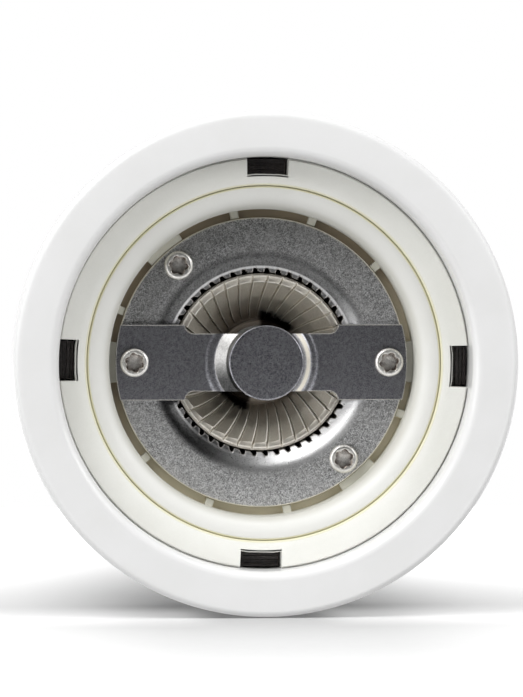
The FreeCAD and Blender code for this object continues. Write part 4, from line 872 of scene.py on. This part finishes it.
def pan_screw(centre, seat, head, height, shank, length, turn):
    """Pan head with a six-lobe socket, head down, and a plain shank."""
    foot = seat - height
    socket = 1.3 * head / 1.85
    depth = 0.8 * height / 1.1
    edge = 0.45 * height / 1.1
    rings = [(0.0, 0.0, foot + depth + 0.12), (0.35, 0.55, foot + depth + 0.05), (1.0, 0.93, foot + depth),
             (1.0, 0.96, foot + depth - 0.06), (1.0, 1.0, foot + 0.10), (1.0, 1.03, foot + 0.03)]
    angles = all_round(72)
    rows = [[(*polar(share * (lobes * lobed(socket, a) + (1 - lobes) * socket), a), level) for a in angles]
            for lobes, share, level in rings]
    rim = [(socket + 0.06, foot)]
    rim += [(head - edge + edge * math.sin(a), foot + 0.8 * edge * (1 - math.cos(a)))
            for a in np.linspace(0, math.pi / 2, 9)]
    rim += [(head, seat - 0.05), (head - 0.05, seat), (shank, seat + 0.01), (shank, seat + length - 0.5),
            (shank * 0.4, seat + length), (0.0, seat + length)]
    rows += [[(*polar(radius, a), level) for a in angles] for radius, level in rim]
    x, y, z = np.moveaxis(np.array(rows), -1, 0)
    x, y = rotated(x, y, turn)
    return lattice(np.stack([x + centre[0], y + centre[1], z], -1), False, True)


def screws():
    for name, node, angles, seat in (
        ("bar_screw_pair", "bridge_screws", BAR_SCREWS, BAR_FACE),
        ("plate_screw_pair", "plate_screws", PLATE_SCREWS, PLATE_FACE),
    ):
        forms = []
        for number, angle in enumerate(angles):
            forms.append(pan_screw(polar(SCREW_CIRCLE, angle), seat, head=1.85, height=1.1, shank=1.0,
                                   length=7.0, turn=0.35 + 0.5 * number + angle))
        dress(piece(name, forms, 38, MECHANISM), node)


# Rotor

RIM_RADIUS = 11.61


def rotor():
    """Cone whose hollow underside is laid out in tiles, one for each tooth, from the rim to the hub."""
    hub = [(3.06, 24.5), (3.06, 15.0), (5.2, 15.0), (5.4, 15.2), (5.4, 16.6), (5.5, 16.75)]
    dish = [(5.7, 16.7), (6.1, 16.4), (6.7, 15.85), (7.3, 15.27), (7.9, 14.65), (8.35, 14.1), (8.6, 13.85),
            (8.85, 13.65), (9.4, 13.23), (9.9, 12.85), (10.3, 12.53), (10.5, 12.36), (10.6, 12.27),
            (10.68, 12.21), (10.78, 12.16), (11.0, 12.13), (11.12, 12.11), (11.2, 12.15), (11.27, 12.1),
            (11.42, 12.1), (11.52, 12.13), (11.58, 12.2), (RIM_RADIUS, 12.4)]
    skirt, skirt_height, flutes_start, flute_depth = 13.0, 3.6, 16.7, 1.3
    outside = [(RIM_RADIUS, skirt), (10.7, 14.8), (9.88, 16.6), (8.9, 18.85), (7.9, 21.15), (6.8, 24.3),
               (6.6, 24.5)]
    rim_start, rim_groove, groove_depth, rim_rise, tile_rise = 10.7, 11.2, 0.22, 0.03, 0.28
    # share of the pitch, depth of the line's groove, rise of the tile, depth of the groove in the rim
    across = [(0.0, 1.0, 0.0, 0.9), (0.03, 0.9, 0.1, 1.0), (0.055, 0.35, 0.7, 1.0), (0.08, 0.0, 1.0, 1.0),
              (0.13, 0.0, 0.97, 1.0), (0.25, 0.0, 0.8, 0.9), (0.4, 0.0, 0.6, 0.55), (0.6, 0.0, 0.38, 0.2),
              (0.8, 0.0, 0.2, 0.08), (0.92, 0.0, 0.08, 0.05), (0.95, 0.15, 0.0, 0.1), (0.975, 0.75, 0.0, 0.5)]
    profile = hub + dish + outside
    columns = []
    for line in range(ROTOR_LINES):
        for share, groove, rise, edge in across:
            start = ROTOR_FIRST + (line + share) * ROTOR_PITCH
            column = []
            for number, (radius, level) in enumerate(profile):
                angle = start
                if number < len(hub) + len(dish):
                    angle += ROTOR_LEAN * clamped((LEAN_START - radius) / LEAN_REACH)
                    if number > len(hub) and radius < 11.3:
                        on_rim = radius > rim_start
                        lift = groove_depth * groove - (rim_rise if on_rim else tile_rise) * rise
                        if radius == rim_groove:
                            lift += 0.10 * edge
                        level += lift if on_rim else 0.7 * lift
                        radius += 0.0 if on_rim else 0.7 * lift
                else:
                    if level < flutes_start:
                        radius -= 0.45 * (1 - min(1.0, abs(2 * share - 1) / 0.9))
                    angle += ROTOR_LEAN * clamped((level - skirt) / skirt_height, 3.2)
                    if level > flutes_start:
                        flute = 0.5 + 0.5 * math.cos(8 * (angle + 0.3))
                        radius -= flute_depth * flute ** 3 * min(1.0, (level - flutes_start) / 7)
                column.append((*polar(radius, angle), level))
            columns.append(column)
    dress(piece("rotor_casting", [lattice(np.array(columns), True, True)], 32), "rotor")


# Column, head and knob


def body_column():
    waist, sweep, sweep_end = (18.4, 86.0), (22.7, 46.0), (29.4, 27.2)
    swell_start, swell, throat = (20.6, 110.0), (22.4, 126.0), (20.7, 141.0)
    waist_arc, sweep_arc = tangent_radii(waist, [sweep, sweep_end])
    start_arc, swell_arc, throat_arc = tangent_radii(waist, [swell_start, swell, throat])
    profile = soften(outline([
        (20.5, 19.0), (30.8, 19.0), (31.6, 19.8, 0.8), (31.6, 25.0), (*sweep_end, 2.2), (*sweep, -sweep_arc),
        (*waist, -waist_arc), (*swell_start, -start_arc), (*swell, -swell_arc), (*throat, -throat_arc),
        (19.9, 141.6), (19.9, 147.6, 3.3), (19.9, 148.2), (19.1, 149.0, 0.8), (15.5, 149.0), (15.5, 153.8),
        (13.0, 153.8), (13.0, 39.6), (17.6, 39.6), (17.6, 20.25), (20.5, 20.25),
    ], 18), 0.25)
    dress(piece("column_turning", [turned(profile, 256)]), "body_column")


def mill_head():
    neck, cove = (16.6, 164.0), (18.6, 156.0)
    bulb_start, bulb, top = (20.4, 173.0), (24.8, 185.2), (8.2, 204.0)
    cove_arc, = tangent_radii(neck, [cove])
    start_arc, bulb_arc, top_arc = tangent_radii(neck, [bulb_start, bulb, top])
    profile = soften(outline([
        (15.9, 149.4), (19.1, 149.4), (19.9, 150.2, 0.8), (19.9, 151.0), (19.9, 156.0, 2.8), cove,
        (*neck, -cove_arc), (*bulb_start, -start_arc), (*bulb, -bulb_arc), (*top, -top_arc), (4.8, 204.0),
        (4.8, 155.7), (11.05, 155.7), (11.05, 154.2), (15.9, 154.2),
    ], 18), 0.25)
    dress(piece("head_turning", [turned(profile, 256)]), "mill_head")


def knob():
    top, ball, neck = 220.8, 6.8, 5.3
    neck_level = top - ball - math.sqrt(ball ** 2 - neck ** 2)
    profile = soften(outline([
        (0, 214.5), (4.2, 214.5), (4.2, 205.0), (7.6, 205.0), (7.6, 206.4, 0.8), (6.9, 206.4),
        (neck, neck_level, -2.4), (0, top, ball),
    ], 24, False), 0.15, 3, False)
    dress(piece("knob_turning", [turned(profile, 192)]), "knob")


def head_washer():
    profile = soften(outline([(2.9, 204.0), (8.0, 204.0), (8.0, 205.0), (2.9, 205.0)]), 0.2)
    dress(piece("washer_turning", [turned(profile, 192)]), "head_washer")


for make in (selector_ring, selector_liner, ring_clips, carrier_cup, stator_plate, bridge_bar, screws, rotor,
             body_column, mill_head, knob, head_washer):
    make()

# Nodes that keep their solid's mesh take a finish too
for node, obj in frame["nodes"].items():
    if not obj.hide_render:
        if not obj.material_slots:
            obj.data.materials.append(None)
        for slot in obj.material_slots:
            slot.material = MATERIALS[SLOT_OF[node]]


# Stage


def sheet_material(name, tone, glow_near, glow_beside, glow_under, fade_start, fade_end):
    """Paper seen from its front only. Its glow, which only the camera and polished surfaces see, rises from
    glow_near at fade_start to white at fade_end. glow_beside and glow_under add to it beside the mill.
    """
    s = Shader(name)
    s.tree.nodes.remove(s.surface)
    geometry = s.node("NewGeometry")
    path = s.node("LightPath")
    paper = s.node("BsdfDiffuse")
    grain = s.mix(s.rise(s.noise(1.5, 4)), grey(0.98 * tone), grey(tone))
    # polished metal sees the paper dark high up, so that the knob keeps its outline
    high_up = s.times(s.spread(s.level(), 0.0, 0.8, 60, 130), path.outputs["Is Glossy Ray"])
    s.link(s.mix(high_up, grain, grey(0.0)), paper.inputs["Color"])
    glow = s.node("Emission")
    length = s.node("VectorMath", operation="LENGTH")
    s.feed(length, s.place)
    away = s.spread(s.over(length.outputs["Value"], MM), glow_near, 1.0, fade_start, fade_end)
    seen = s.larger(path.outputs["Is Camera Ray"],
                    s.larger(path.outputs["Is Glossy Ray"], path.outputs["Is Transmission Ray"]))
    aside = s.math("ABSOLUTE", s.along(RIGHT))
    # painted light: glow beside the mill and by the ring's foot lightens the mill's shadow on the sheet
    beside = s.spread(aside, 0.0, glow_beside, 10, 32)
    sides = s.times(s.rise(aside, 5, 12), s.spread(aside, 1.0, 0.5, 20, 34))
    under = s.times(s.times(s.near(s.level(), 4.0, 0, 19), sides), glow_under)
    total_glow = s.math("ADD", away, s.math("ADD", beside, under))
    s.link(s.times(total_glow, seen), glow.inputs["Strength"])
    total = s.feed(s.node("AddShader"), paper.outputs[0], glow.outputs[0])
    clear_for(s, total, geometry.outputs["Backfacing"])
    return s.material


def clear_for(s, shader, hidden):
    """Make a stage surface clear where hidden is 1, and clear to the light that falls on the mill."""
    path = s.node("LightPath")
    for ray in ("Is Shadow Ray", "Is Diffuse Ray"):
        hidden = s.larger(hidden, path.outputs[ray])
    clear = s.node("BsdfTransparent").outputs[0]
    s.link(s.feed(s.node("MixShader"), hidden, shader, clear), s.output.inputs["Surface"])


def stage_piece(name, points, faces, material):
    mesh = bpy.data.meshes.new(name)
    mesh.from_pydata([tuple(point) for point in points], [], faces)
    mesh.materials.append(material)
    obj = add(name, mesh)
    return obj


def table():
    """Table top under the mill, open under its base."""
    level, radii = -0.00005, (0.0315, 0.06, 0.2, 0.7, 2.5)
    rings = [[(*polar(radius, a), level) for a in all_round(96)] for radius in radii]
    points, faces = lattice(np.array(rings), False, True)
    paper = sheet_material("table_paper", tone=0.75, glow_near=0.12, glow_beside=0.0, glow_under=0.0,
                           fade_start=60, fade_end=260)
    stage_piece("table_top", points, faces, paper)


def ground():
    """Sheet beside the ring, on which the mill lies in the picture."""
    half_width, front, back = 0.45, 0.11, -0.25
    level = -0.0326  # just below the ring, which is 65 mm wide
    points = [in_picture(side * half_width, level, place)
              for side, place in ((-1, front), (1, front), (1, back), (-1, back))]
    paper = sheet_material("ground_paper", tone=0.25, glow_near=0.05, glow_beside=0.16, glow_under=0.30,
                           fade_start=50, fade_end=170)
    obj = stage_piece("ground_sheet", points, [(0, 1, 2, 3)], paper)
    normal = (points[1] - points[0]).cross(points[2] - points[1])
    if normal.dot(UP) < 0:
        obj.data.flip_normals()
    return obj


def world():
    scene_world = bpy.data.worlds.new("studio")
    bpy.context.scene.world = scene_world
    scene_world.use_nodes = True
    tree = scene_world.node_tree
    background = tree.nodes["Background"]
    path = tree.nodes.new("ShaderNodeLightPath")
    seen = path.outputs["Is Camera Ray"]
    for name in ("Is Glossy Ray", "Is Transmission Ray"):
        larger = tree.nodes.new("ShaderNodeMath")
        larger.operation = "MAXIMUM"
        tree.links.new(seen, larger.inputs[0])
        tree.links.new(path.outputs[name], larger.inputs[1])
        seen = larger.outputs[0]
    strength = tree.nodes.new("ShaderNodeMapRange")
    tree.links.new(seen, strength.inputs[0])
    strength.inputs["To Min"].default_value = 0.50
    strength.inputs["To Max"].default_value = 1.0
    tree.links.new(strength.outputs[0], background.inputs["Strength"])
    background.inputs["Color"].default_value = (1, 1, 1, 1)


def lamp(name, place, aim, width, height, power):
    light = bpy.data.lights.new(name, "AREA")
    light.shape = "RECTANGLE"
    light.size, light.size_y = width, height
    light.energy = power
    obj = add(name, light)
    obj.location = place
    obj.rotation_euler = (Vector(aim) - Vector(place)).to_track_quat("-Z", "Y").to_euler()
    return obj


def flag():
    """Black card behind the camera, seen only in what it is mirrored by, such as the flat metal."""
    s = Shader("black_card")
    s.finish((0.02, 0.02, 0.02), 0.9)
    clear_for(s, s.surface.outputs[0], 0.0)
    reach, distance = 2.0, 0.95
    points = [in_picture(reach * a, reach * b, distance) for a, b in ((-1, -1), (1, -1), (1, 1), (-1, 1))]
    stage_piece("black_card", points, [(0, 1, 2, 3)], s.material)


table()
sheet = ground()
world()
flag()
# name, place and aim in metres, width and height in metres, power in watts
BASE = (0, 0, 0)
for setting in (
    ("key", in_picture(-0.50, 0.56, 0.42), BASE, 0.50, 0.50, 3.4),
    ("left", in_picture(-0.75, 0.05, 0.40), BASE, 0.30, 0.60, 1.9),
    ("right", in_picture(0.64, 0.32, 0.42), BASE, 0.30, 0.45, 2.1),
    ("top", in_picture(0.05, 0.80, 0.22), BASE, 0.90, 0.40, 1.9),
    ("above", (0.5, -0.5, 1.1), (0, 0, 0.1), 1.6, 1.6, 9.0),
):
    lamp(*setting)

# The sheet has a wide lamp of its own, so that the mill leaves a soft shadow on it and isn't overlit
overhead = lamp("overhead", in_picture(0.0, 1.0, -0.15), in_picture(0.0, 0.0, -0.15), 2.4, 2.0, 68.0)
overhead.light_linking.receiver_collection = bpy.data.collections.new("sheet_only")
overhead.light_linking.receiver_collection.objects.link(sheet)


def camera():
    """Camera in front of the base, a little to the left and above, with the ring upright in its picture."""
    distance, focal_length = 0.600, 241.3
    target = Vector((0, 0, 0.0015))
    aside, above = math.radians(4.5), math.radians(1.5)
    place = target + distance * (-math.sin(aside) * RIGHT + math.sin(above) * UP
                                 + math.sqrt(1 - math.sin(aside) ** 2 - math.sin(above) ** 2) * FRONT)
    aim = target - RIGHT * 0.00063 + UP * 0.00199  # sets the ring low in the picture
    forward = (aim - place).normalized()
    right = forward.cross(UP).normalized()
    up = right.cross(forward)
    lens = bpy.data.cameras.new("camera")
    lens.lens = focal_length
    lens.sensor_width = 36
    lens.clip_start, lens.clip_end = 0.01, 20
    obj = add("camera", lens)
    obj.matrix_world = Matrix.Translation(place) @ Matrix((right, up, -forward)).transposed().to_4x4()
    bpy.context.scene.camera = obj


camera()
bpy.context.scene.view_settings.view_transform = "Standard"
